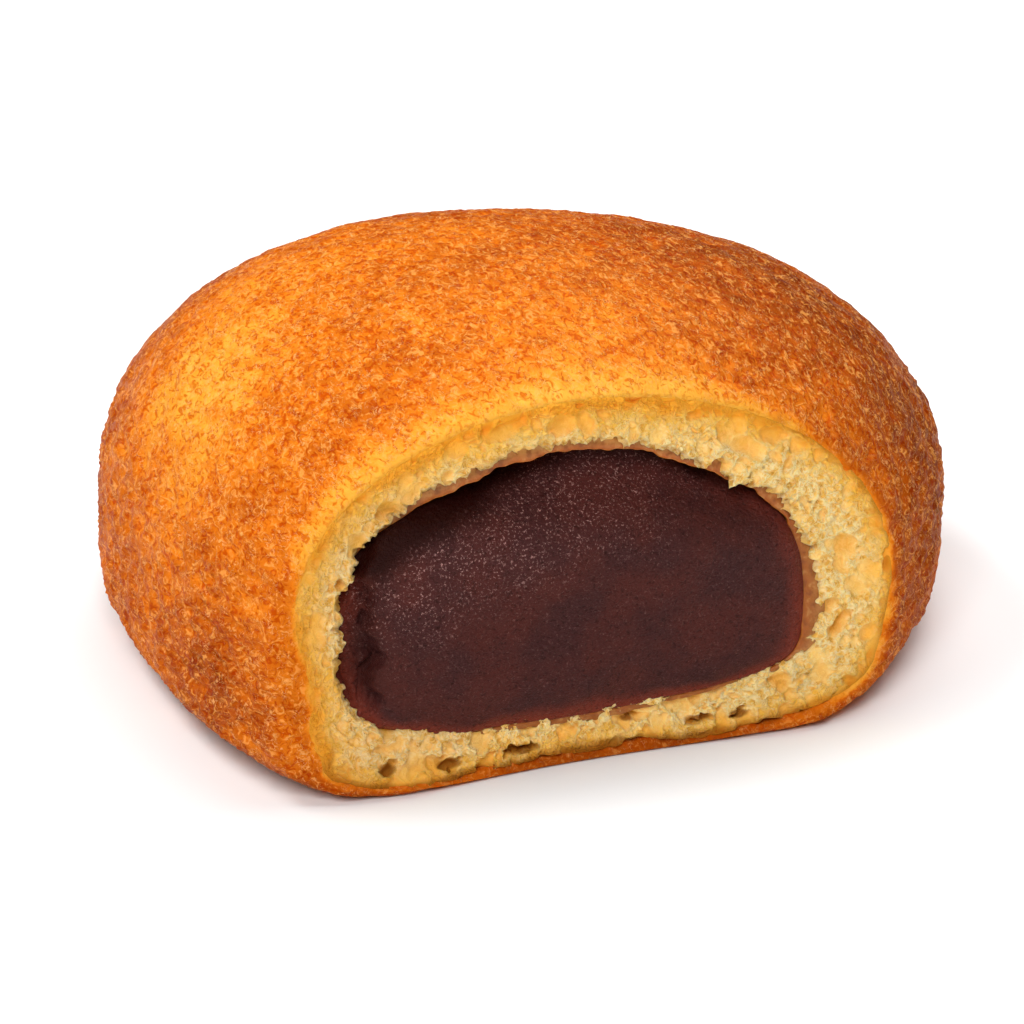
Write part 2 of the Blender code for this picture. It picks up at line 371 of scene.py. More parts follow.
@dataclass(frozen=True)
class Pocket:
    """The pocket that the paste fills: its mouth in the torn face and the wall behind it."""

    bun: Bun
    mouth: Outline = Outline(
        centre=(-4.0, 13.0),
        points=(
            (17.9, 12.6), (17.5, 17.0), (16.1, 20.4), (13.2, 23.2), (8.8, 25.6), (3.0, 28.2),
            (-3.7, 29.2), (-9.5, 28.5), (-15.5, 26.7), (-20.6, 24.5), (-24.3, 21.6), (-25.9, 17.5),
            (-26.3, 13.0), (-25.7, 8.9), (-23.9, 6.7), (-20.8, 5.7), (-16.5, 4.8), (-12.5, 4.8),
            (-9.0, 4.8), (-6.5, 4.8), (-4.0, 4.8), (-1.5, 4.85), (1.5, 4.95), (5.5, 5.2),
            (10.0, 5.5), (14.3, 6.1), (16.6, 7.2), (17.6, 9.3),
        ),
    )
    depth: float = 46.0
    mouth_angle: float = math.radians(-29)

    @property
    def middle(self) -> np.ndarray:
        """Centre of the mouth, as x and z."""
        return np.asarray(self.mouth.centre)

    def wall(self, angle: np.ndarray, depth: np.ndarray, gap: float = 0.0) -> np.ndarray:
        """Points of the pocket's wall.

        The mouth's outline swells and closes again behind the torn face as the cosine of a turn
        whose sine rises with the depth, as on a rounded lump that was torn across.

        Args:
            angle: Angles round the mouth's centre.
            depth: Millimetres behind the torn face.
            gap: Distance kept inside the wall.

        Returns:
            The points in millimetres.
        """
        angle, depth = np.broadcast_arrays(angle, depth)
        start = math.sin(self.mouth_angle)
        sine = start + (1 - start) * depth / (self.depth - gap)
        swell = np.sqrt(np.maximum(0, 1 - np.clip(sine, -1, 1) ** 2)) / math.cos(self.mouth_angle)
        reach = (self.mouth.reach(angle) - gap) * swell
        x = self.middle[0] + reach * np.cos(angle)
        z = self.middle[1] + reach * np.sin(angle)
        lean = 1 - depth / self.depth
        y = self.bun.tear_y(z * lean + self.bun.tear_level * (1 - lean)) + depth
        return np.stack([x, y, z], -1)

    def stations(self, count: int) -> np.ndarray:
        """Places rings along the pocket, evenly spaced round its outline seen from the side.

        Args:
            count: How many steps there are.

        Returns:
            Their depths in millimetres, from the pocket's end to its mouth.
        """
        turn = np.linspace(math.pi / 2, self.mouth_angle, count + 1)
        start = math.sin(self.mouth_angle)
        return self.depth * (np.sin(turn) - start) / (1 - start)


@dataclass(frozen=True)
class Rays:
    """Rays from the mouth's centre in the torn face, at even angles all the way round."""

    pocket: Pocket
    count: int

    @property
    def angle(self) -> np.ndarray:
        """Each ray's angle, 0 along +x and a quarter turn up."""
        return np.linspace(-math.pi, math.pi, self.count, endpoint=False)

    @property
    def right(self) -> np.ndarray:
        """How far each ray runs to the right in a millimetre, its cosine."""
        return np.cos(self.angle)

    @property
    def up(self) -> np.ndarray:
        """How far each ray runs up in a millimetre, its sine."""
        return np.sin(self.angle)

    def at(self, reach: np.ndarray) -> tuple[np.ndarray, np.ndarray]:
        """The x and z of places that lie at distances along the rays."""
        return self.pocket.middle[0] + reach * self.right, self.pocket.middle[1] + reach * self.up

    def line(self, reach: np.ndarray) -> np.ndarray:
        """The same places about the mouth's centre, as points in the plane where y is 0."""
        return np.stack([reach * self.right, 0 * reach, reach * self.up], -1)


# ---- meshes ------------------------------------------------------------------------------------


def ring_normals(points: np.ndarray) -> np.ndarray:
    """Outward unit normals of a grid of rings: the cross product of its two differences.

    Args:
        points: Rows of rings, each closed along the second axis.

    Returns:
        One unit normal for each point.
    """
    along = np.gradient(points, axis=0)
    round_it = np.roll(points, -1, 1) - np.roll(points, 1, 1)
    normal = np.cross(round_it, along)
    return normal / np.maximum(np.linalg.norm(normal, axis=-1, keepdims=True), 1e-9)


@dataclass
class Skin:
    """A closed surface: rings of points, one after another, shut by two poles or looped."""

    rings: np.ndarray
    values: dict[str, np.ndarray] = field(default_factory=dict)
    looped: bool = False

    def faces(self) -> tuple[np.ndarray, np.ndarray]:
        """Joins each point to the next along its ring and to the ring after it.

        Returns:
            The grid's four-sided faces and, unless it is looped, the triangles at its poles.
        """
        rows, columns = self.rings.shape[:2]
        number = np.arange(rows * columns).reshape(rows, columns)
        ahead = np.roll(number, -1, 1)
        steps = rows if self.looped else rows - 1
        after, ahead_after = (np.roll(grid, -1, 0)[:steps] for grid in (number, ahead))
        quads = np.stack([number[:steps], ahead[:steps], ahead_after, after], -1).reshape(-1, 4)
        if self.looped:
            return quads, np.zeros((0, 3), int)
        first, last = rows * columns, rows * columns + 1
        start = np.stack([ahead[0], number[0], np.full(columns, first)], -1)
        end = np.stack([number[-1], ahead[-1], np.full(columns, last)], -1)
        return quads, np.concatenate([start, end])

    def build(self, name: str, bun: Bun, material: bpy.types.Material) -> bpy.types.Object:
        """Makes the surface an object.

        Args:
            name: The object's name.
            bun: The bun, which says where millimetres are in the frame.
            material: Its finish.

        Returns:
            The new object, smooth, at the origin.
        """
        points = self.rings.reshape(-1, 3)
        values = {key: value.reshape(-1) for key, value in self.values.items()}
        if not self.looped:
            ends = [0, -1]
            points = np.concatenate([points, self.rings[ends].mean(1)])
            values = {
                key: np.concatenate([value, self.values[key][ends].mean(1)])
                for key, value in values.items()
            }
        return build_mesh(name, bun.to_frame(points), self.faces(), values, material)


def build_mesh(
    name: str,
    points: np.ndarray,
    faces: tuple[np.ndarray, ...],
    values: dict[str, np.ndarray],
    material: bpy.types.Material,
) -> bpy.types.Object:
    """Puts arrays into a smooth mesh object.

    Args:
        name: The object's name.
        points: Its points, in metres.
        faces: Arrays of point numbers, one array for each number of sides.
        values: Named numbers, one for each point, which its material reads.
        material: Its finish.

    Returns:
        The new object, linked to the scene.
    """
    mesh = bpy.data.meshes.new(name)
    corners = np.concatenate([group.reshape(-1) for group in faces]).astype(np.int32)
    sides = np.concatenate([np.full(len(group), group.shape[1]) for group in faces])
    mesh.vertices.add(len(points))
    mesh.vertices.foreach_set("co", points.astype(FLOAT).reshape(-1))
    mesh.loops.add(len(corners))
    mesh.loops.foreach_set("vertex_index", corners)
    mesh.polygons.add(len(sides))
    starts = np.concatenate([[0], np.cumsum(sides)[:-1]]).astype(np.int32)
    mesh.polygons.foreach_set("loop_start", starts)
    for key, value in values.items():
        layer = mesh.attributes.new(key, "FLOAT", "POINT")
        layer.data.foreach_set("value", value.astype(FLOAT))
    mesh.update(calc_edges=True)
    mesh.shade_smooth()
    mesh.materials.append(material)
    piece = bpy.data.objects.new(name, mesh)
    bpy.context.scene.collection.objects.link(piece)
    triangles = int((sides - 2).sum())
    LOG.info("%s: %d points, %d triangles", name, len(points), triangles)
    return piece


# ---- finishes ----------------------------------------------------------------------------------


def linear(colour: str) -> tuple[float, float, float, float]:
    """An sRGB hex colour as linear red, green, blue and alpha."""
    parts = [int(colour[at : at + 2], 16) / 255 for at in (1, 3, 5)]
    return (*(c / 12.92 if c <= 0.04045 else ((c + 0.055) / 1.055) ** 2.4 for c in parts), 1.0)


def add(
    tree: bpy.types.NodeTree, kind: str, settings: dict, out: int | str = 0
) -> bpy.types.NodeSocket | None:
    """Adds a node with its settings and links.

    Args:
        tree: The node tree.
        kind: The node's type, without the word that they all start with.
        settings: By the name of a property, or the name or number of an input. A socket is linked, a
            hex colour is turned to linear, and stops are the places and hex colours of a ramp.
        out: Which of its outputs is wanted.

    Returns:
        The output's socket, or nothing where it has none.
    """
    node = tree.nodes.new("ShaderNode" + kind)
    inputs = {}
    for key, value in settings.items():
        if key == "stops":
            band = node.color_ramp.elements
            while len(band) < len(value):
                band.new(0.5)
            for stop, (place, _) in zip(band, value):
                stop.position = place
            for stop, (_, colour) in zip(band, value):
                stop.color = linear(colour)
        elif isinstance(key, str) and hasattr(node, key):
            setattr(node, key, value)
        else:
            inputs[key] = value
    for key, value in inputs.items():
        if isinstance(value, bpy.types.NodeSocket):
            tree.links.new(value, node.inputs[key])
        else:
            node.inputs[key].default_value = linear(value) if isinstance(value, str) else value
    return node.outputs[out] if node.outputs else None


def new_tree(name: str) -> tuple[bpy.types.Material, bpy.types.NodeTree, bpy.types.NodeSocket]:
    """Starts a material.

    Args:
        name: The material's name.

    Returns:
        The material, its empty node tree, and the socket that gives the place on the object.
    """
    material = bpy.data.materials.new(name)
    material.use_nodes = True
    material.node_tree.nodes.clear()
    return material, material.node_tree, add(material.node_tree, "TexCoord", {}, "Object")


def per_mm(size: float) -> float:
    """The scale that gives a pattern a spacing in millimetres."""
    return 1 / (size * MM)


def curls(
    tree: bpy.types.NodeTree, place: bpy.types.NodeSocket, size: float, width: float
) -> bpy.types.NodeSocket:
    """Thin curled lines, such as painted glints on a pebbled skin: where noise is close to a half.

    Args:
        tree: The node tree.
        place: The place on the object.
        size: Spacing of the noise in millimetres.
        width: How far from a half the noise may be.

    Returns:
        1 along the lines and 0 between them.
    """
    pattern = {"Vector": place, "Scale": per_mm(size), "Detail": 1.0, "Distortion": 1.2}
    side = add(tree, "Math", {"operation": "SUBTRACT", 0: add(tree, "TexNoise", pattern), 1: 0.5})
    side = add(tree, "Math", {"operation": "ABSOLUTE", 0: side})
    return add(tree, "MapRange", {"Value": side, "From Min": width, "From Max": 0.0, **SOFT})


@dataclass(frozen=True)
class FriedCrust:
    """Deep-fried dough: a thin browned skin, pebbled by its bubbles and softly oily.

    Each pebble carries a painted highlight and a small painted curled glint, and painted shade
    darkens the deeper orange creases between them. Browning runs from gold at the rim, through
    orange, to brown. The pebbles are drawn out a little from front to back, and the skin's fine
    relief shades itself, so its lustre stays low at a glancing angle.
    """

    pebble: float = 0.60
    curl: float = 0.50
    curl_width: float = 0.06
    gap_between_curls: float = 0.8
    mottle: float = 2.8
    mottle_strength: float = 0.4
    drawn_out: tuple[float, float, float] = (1.0, 0.62, 1.0)
    pebble_height: float = 0.22
    curl_height: float = 0.05
    # Painted shade in the creases, a painted highlight on the pebbles' tops and painted curled glints.
    crease_shade_tint: str = "#e2b070"
    pebble_highlight_tint: str = "#ffb058"
    glint_tint: str = "#ffbe78"
    browns: tuple[tuple[float, str], ...] = (
        (0.0, "#f6b444"),
        (0.2, "#f09a2c"),
        (0.42, "#e27816"),
        (0.7, "#b8540c"),
        (1.0, "#883a08"),
    )

    def material(self) -> bpy.types.Material:
        """Builds the node tree.

        Returns:
            The material, which reads how brown and how pebbled each point is.
        """
        material, tree, place = new_tree("fried_crust")
        place = add(tree, "Mapping", {"Vector": place, "Scale": self.drawn_out})
        brown, rough = (
            add(tree, "Attribute", {"attribute_name": name}, "Fac") for name in ("browning", "pebbled")
        )
        mottle = {"Vector": place, "Scale": per_mm(self.mottle), "Detail": 2.0, "Distortion": 0.6}
        mottle = add(tree, "Math", {"operation": "SUBTRACT", 0: add(tree, "TexNoise", mottle), 1: 0.5})
        mottle = add(tree, "Math", {"operation": "MULTIPLY", 0: mottle, 1: rough})
        deeper = {"operation": "MULTIPLY_ADD", 0: mottle, 1: self.mottle_strength, 2: brown}
        colour = add(tree, "ValToRGB", {"Fac": add(tree, "Math", deeper), "stops": self.browns})
        pattern = {"Vector": place, "Scale": per_mm(self.pebble), "Roughness": 0.5}
        pebbles = add(tree, "TexNoise", {"Detail": 2.0, "Distortion": 1.2, **pattern})
        breaks = add(tree, "TexNoise", {"Vector": place, "Scale": per_mm(self.gap_between_curls)})
        breaks = {"Value": breaks, "From Min": 0.4, "From Max": 0.62, "To Max": 0.8}
        breaks = add(tree, "MapRange", breaks)
        # Painted glints along thin curls, in breaks.
        lines = curls(tree, place, self.curl, self.curl_width)
        lines = add(tree, "Math", {"operation": "MULTIPLY", 0: lines, 1: breaks})
        # Painted shade in the creases, painted highlights on the pebbles and painted glints on the
        # curls.
        for value, low, high, share, kind, tint in (
            (pebbles, 0.50, 0.34, 1.0, "MULTIPLY", self.crease_shade_tint),
            (pebbles, 0.54, 0.68, 0.5, "MIX", self.pebble_highlight_tint),
            (lines, 0.0, 1.0, 0.6, "MIX", self.glint_tint),
        ):
            part = {"Value": value, "From Min": low, "From Max": high, "To Max": share, **SOFT}
            part = add(tree, "Math", {"operation": "MULTIPLY", 0: add(tree, "MapRange", part), 1: rough})
            mix = {"data_type": "RGBA", "blend_type": kind, 0: part, 6: colour, 7: tint}
            colour = add(tree, "Mix", mix, 2)
        height = add(tree, "Math", {"operation": "MULTIPLY", 0: pebbles, 1: rough})
        relief = add(tree, "Bump", {"Height": height, "Distance": self.pebble_height * MM})
        finer = {"Height": lines, "Distance": self.curl_height * MM, "Normal": relief}
        oily_skin = {
            "Base Color": colour,
            "Roughness": 0.4,
            "Normal": add(tree, "Bump", finer),
            "IOR": 1.06,
            "Specular IOR Level": 1.0,
            "Specular Tint": linear("#ffc890"),
            "Subsurface Weight": 0.1,
            "Subsurface Radius": (1.0, 0.45, 0.18),
            "Subsurface Scale": 0.5 * MM,
        }
        add(tree, "OutputMaterial", {"Surface": add(tree, "BsdfPrincipled", oily_skin)})
        return material


@dataclass(frozen=True)
class TornCrumb:
    """Soft yeast dough torn apart: matt, cream-yellow and translucent, a foam of tiny cells.

    Light gets into it, so its pits look warm yellow rather than dark: its colour deepens with a
    pit's depth, painted shade, and the foam's threads and walls are lighter, painted highlight. It
    turns amber towards the crust, brown where it was charred, with painted shade round the lowest
    pits and at the left, and greyish brown where it lay against the paste. The finest cells are too
    small to show, so the foam is drawn coarser than it is. Each amber fades in between two
    distances from the rim, up to a share.
    """

    cell: float = 0.8
    thread: float = 0.62
    thread_width: float = 0.11
    shake: float = 0.6
    warp: float = 0.36
    patch: float = 2.6
    foam_height: float = 0.17
    foam_shade: float = -0.95
    # Colour by pit depth: painted shade that deepens into the pits.
    depths: tuple[tuple[float, str], ...] = (
        (0.0, "#ffe0a2"),
        (0.3, "#fbcc76"),
        (0.65, "#eab050"),
        (1.0, "#be8432"),
    )
    ambers: tuple[tuple[float, float, float, str], ...] = (
        (3.5, 0.4, 0.8, "#fabc48"),
        (1.1, -0.4, 0.9, "#f2a02a"),
    )
    # Charred brown, which also paints shade round the lowest pits and at the left.
    burnt_and_shade_tint: str = "#90500f"
    stain_tint: str = "#b8864e"

    def material(self) -> bpy.types.Material:
        """Builds the node tree.

        Returns:
            The material, which reads each point's pit depth, froth, burning and painted shade, and
            distances in millimetres from the rim and the paste.
        """
        material, tree, place = new_tree("torn_crumb")
        pit, frothy, burnt, from_rim, from_paste = (
            add(tree, "Attribute", {"attribute_name": name}, "Fac")
            for name in ("pit", "frothy", "burnt", "from_rim", "from_paste")
        )
        shake = {"Vector": place, "Scale": per_mm(self.shake), "Detail": 2.0}
        shake = {0: add(tree, "TexNoise", shake, "Color"), 1: (self.warp * MM,) * 3, 2: place}
        shaken = add(tree, "VectorMath", {"operation": "MULTIPLY_ADD", **shake})
        cells = add(tree, "TexVoronoi", {"Vector": shaken, "Scale": per_mm(self.cell)}, "Distance")
        walls = add(tree, "MapRange", {"Value": cells, "From Min": 0.2, "From Max": 0.62, **SOFT})
        threads = curls(tree, place, self.thread, self.thread_width)
        foam = add(tree, "Math", {"operation": "MULTIPLY_ADD", 0: threads, 1: 0.6, 2: -0.5})
        foam = add(tree, "Math", {"operation": "MULTIPLY_ADD", 0: walls, 1: 0.5, 2: foam})
        foam = add(tree, "Math", {"operation": "MULTIPLY", 0: foam, 1: frothy})
        # Painted highlight on the foam's threads and walls, painted shade deeper in the pits.
        pit = add(tree, "Math", {"operation": "MULTIPLY_ADD", 0: foam, 1: self.foam_shade, 2: pit})
        colour = add(tree, "ValToRGB", {"Fac": pit, "stops": self.depths})
        patch = add(tree, "TexNoise", {"Vector": place, "Scale": per_mm(self.patch), "Detail": 2.0})
        uneven = {"Value": patch, "From Min": 0.3, "From Max": 0.7, "To Min": -0.6, "To Max": 0.6}
        uneven = add(tree, "MapRange", uneven)
        from_rim, from_paste = (
            add(tree, "Math", {"operation": "ADD", 0: run, 1: uneven}) for run in (from_rim, from_paste)
        )
        fades = []
        for start, end, share, tint in self.ambers:
            fade = {"Value": from_rim, "From Min": start, "From Max": end, "To Max": share, **SOFT}
            fades.append((add(tree, "MapRange", fade), tint))
        stain = {"Value": from_paste, "From Min": 0.9, "From Max": -0.4, "To Max": 0.4, **SOFT}
        # Charred brown with painted shade, then the grey-brown stain from the paste.
        fades += [(burnt, self.burnt_and_shade_tint), (add(tree, "MapRange", stain), self.stain_tint)]
        for fade, tint in fades:
            colour = add(tree, "Mix", {"data_type": "RGBA", 0: fade, 6: colour, 7: tint}, 2)
        relief = add(tree, "Bump", {"Height": foam, "Distance": self.foam_height * MM})
        torn_dough = {
            "Base Color": colour,
            "Roughness": 0.6,
            "Normal": relief,
            "IOR": 1.42,
            "Specular IOR Level": 0.08,
            "Specular Tint": linear("#ffe0b0"),
            "Subsurface Weight": 0.5,
            "Subsurface Radius": (1.0, 0.76, 0.4),
            "Subsurface Scale": 0.36 * MM,
        }
        add(tree, "OutputMaterial", {"Surface": add(tree, "BsdfPrincipled", torn_dough)})
        return material


@dataclass(frozen=True)
class SoakedSkin:
    """The pocket's inner skin: dough soaked by the paste, so it is thin, waxy and see-through.

    Its thin edge lets light through and looks orange-brown; the wider part is tan, and darker
    where there is paste close behind it. Each blotch grows, up to a share, as noise goes from one
    level to another.
    """

    patch: float = 0.8
    grain: float = 0.5
    grain_height: float = 0.12
    widths: tuple[tuple[float, str], ...] = (
        (0.0, "#cc701c"),
        (0.12, "#b05e20"),
        (0.5, "#b4743a"),
        (1.0, "#d8a25c"),
    )
    backed_tint: str = "#9a541c"
    # The dark blotch is the film's own darker tone; the pale one is partly painted highlight on the
    # film.
    blotches: tuple[tuple[float, float, float, str], ...] = (
        (0.5, 0.3, 0.75, "#86481e"),
        (0.54, 0.7, 0.4, "#d09c58"),
    )

    def material(self) -> bpy.types.Material:
        """Builds the node tree.

        Returns:
            The material, which reads the way in from the thin edge and how near the paste is.
        """
        material, tree, place = new_tree("soaked_skin")
        edge, backed = (
            add(tree, "Attribute", {"attribute_name": name}, "Fac") for name in ("edge", "backed")
        )
        colour = add(tree, "ValToRGB", {"Fac": edge, "stops": self.widths})
        patch, grain = (
            add(tree, "TexNoise", {"Vector": place, "Scale": per_mm(size), "Detail": 2.0})
            for size in (self.patch, self.grain)
        )
        fades = [(backed, self.backed_tint)]
        for low, high, share, tint in self.blotches:
            part = {"Value": patch, "From Min": low, "From Max": high, "To Max": share, **SOFT}
            fades.append((add(tree, "MapRange", part), tint))
        for fade, tint in fades:
            colour = add(tree, "Mix", {"data_type": "RGBA", 0: fade, 6: colour, 7: tint}, 2)
        relief = add(tree, "Bump", {"Height": grain, "Distance": self.grain_height * MM})
        waxy_film = {
            "Base Color": colour,
            "Roughness": 0.4,
            "Normal": relief,
            "IOR": 1.45,
            "Specular IOR Level": 0.3,
            "Subsurface Weight": 0.5,
            "Subsurface Radius": (1.0, 0.5, 0.25),
            "Subsurface Scale": 1.0 * MM,
        }
        add(tree, "OutputMaterial", {"Surface": add(tree, "BsdfPrincipled", waxy_film)})
        return material


@dataclass(frozen=True)
class BeanPaste:
    """Strained red bean paste: dense, moist and very fine-grained, a dark purple-brown.

    Its grain gives the painted sheen tiny curled painted glints, drawn as coarse as they need to be
    to show; where it thins towards its edge it has a painted red glow, and painted shade darkens it
    under the roof.
    """

    patch: float = 5.0
    grain: float = 0.34
    grain_height: float = 0.24
    sparks: tuple[float, float] = (0.42, 0.26)
    spark_width: float = 0.035
    gap_between_sparks: float = 0.24
    swell: float = 1.6
    swell_height: float = 0.10
    browns: tuple[str, str] = ("#3c1e1e", "#4a211d")
    # Painted sheen: its share and tint.
    sheen_share: float = 0.14
    sheen_tint: str = "#6a3634"
    # Painted red glow where the paste thins at its edge.
    glow_tint: str = "#7a3022"
    # Painted shade in the recess under the roof and at the far left.
    recess_shade_tint: str = "#200302"
    grain_tint: str = "#200808"
    # Tint of the painted glints.
    spark_tint: str = "#d09c94"

    def material(self) -> bpy.types.Material:
        """Builds the node tree.

        Returns:
            The material, which reads each point's painted sheen, painted red glow and painted shade.
        """
        material, tree, place = new_tree("bean_paste")
        sheen, redness, hollow = (
            add(tree, "Attribute", {"attribute_name": name}, "Fac")
            for name in ("sheen", "redness", "hollow")
        )
        patch = add(tree, "TexNoise", {"Vector": place, "Scale": per_mm(self.patch), "Detail": 2.0})
        patch = add(tree, "MapRange", {"Value": patch, "From Min": 0.35, "From Max": 0.65, **SOFT})
        # How much painted sheen each point gets.
        moist = add(tree, "Math", {"operation": "MULTIPLY", 0: sheen, 1: self.sheen_share})
        pattern = {"Vector": place, "Scale": per_mm(self.grain), "Roughness": 0.6}
        grain = add(tree, "TexNoise", {"Detail": 3.0, "Distortion": 0.8, **pattern})
        dark = {"Value": grain, "From Min": 0.48, "From Max": 0.3, "To Max": 0.7, **SOFT}
        breaks = add(tree, "TexNoise", {"Vector": place, "Scale": per_mm(self.gap_between_sparks)})
        breaks = add(tree, "MapRange", {"Value": breaks, "From Min": 0.53, "From Max": 0.66})
        # Painted glints: thin curls, in breaks and where the painted sheen is.
        lines = [curls(tree, place, size, self.spark_width) for size in self.sparks]
        lines = add(tree, "Math", {"operation": "MAXIMUM", 0: lines[0], 1: lines[1]})
        for part in (breaks, sheen):
            lines = add(tree, "Math", {"operation": "MULTIPLY", 0: lines, 1: part})
        colour, second = self.browns
        # Over the paste's own browns and grain go painted sheen, painted red glow, painted shade and
        # painted glints.
        for fade, tint in (
            (patch, second),
            (moist, self.sheen_tint),
            (redness, self.glow_tint),
            (hollow, self.recess_shade_tint),
            (add(tree, "MapRange", dark), self.grain_tint),
            (lines, self.spark_tint),
        ):
            colour = add(tree, "Mix", {"data_type": "RGBA", 0: fade, 6: colour, 7: tint}, 2)
        broad = add(tree, "TexNoise", {"Vector": place, "Scale": per_mm(self.swell), "Detail": 2.0})
        relief = add(tree, "Bump", {"Height": broad, "Distance": self.swell_height * MM})
        finer = {"Height": grain, "Distance": self.grain_height * MM, "Normal": relief}
        moist_paste = {
            "Base Color": colour,
            "Roughness": 0.4,
            "Normal": add(tree, "Bump", finer),
            "IOR": 1.22,
            "Specular IOR Level": 0.6,
            "Specular Tint": linear("#ffd0c0"),
            "Subsurface Weight": 0.1,
            "Subsurface Radius": (1.0, 0.25, 0.15),
            "Subsurface Scale": 0.7 * MM,
        }
        add(tree, "OutputMaterial", {"Surface": add(tree, "BsdfPrincipled", moist_paste)})
        return material


@dataclass(frozen=True)
class WhitePaper:
    """Seamless white paper: matt, even and bright, with only its faint tooth."""

    tooth: float = 0.5
    tooth_height: float = 0.002

    def material(self) -> bpy.types.Material:
        """Builds the node tree.

        Returns:
            The material.
        """
        material, tree, place = new_tree("white_paper")
        tooth = add(tree, "TexNoise", {"Vector": place, "Scale": per_mm(self.tooth)})
        relief = add(tree, "Bump", {"Height": tooth, "Distance": self.tooth_height * MM})
        paper = {"Base Color": "#fbfbfb", "Roughness": 0.95, "Normal": relief, "Specular IOR Level": 0.0}
        add(tree, "OutputMaterial", {"Surface": add(tree, "BsdfPrincipled", paper)})
        return material


# ---- the doughnut's pieces ---------------------------------------------------------------------


@dataclass(frozen=True)
class Blotch:
    """A soft spot on the crust: its middle, its radius and how much browner it is there."""

    middle: tuple[float, float, float]
    radius: float
    amount: float


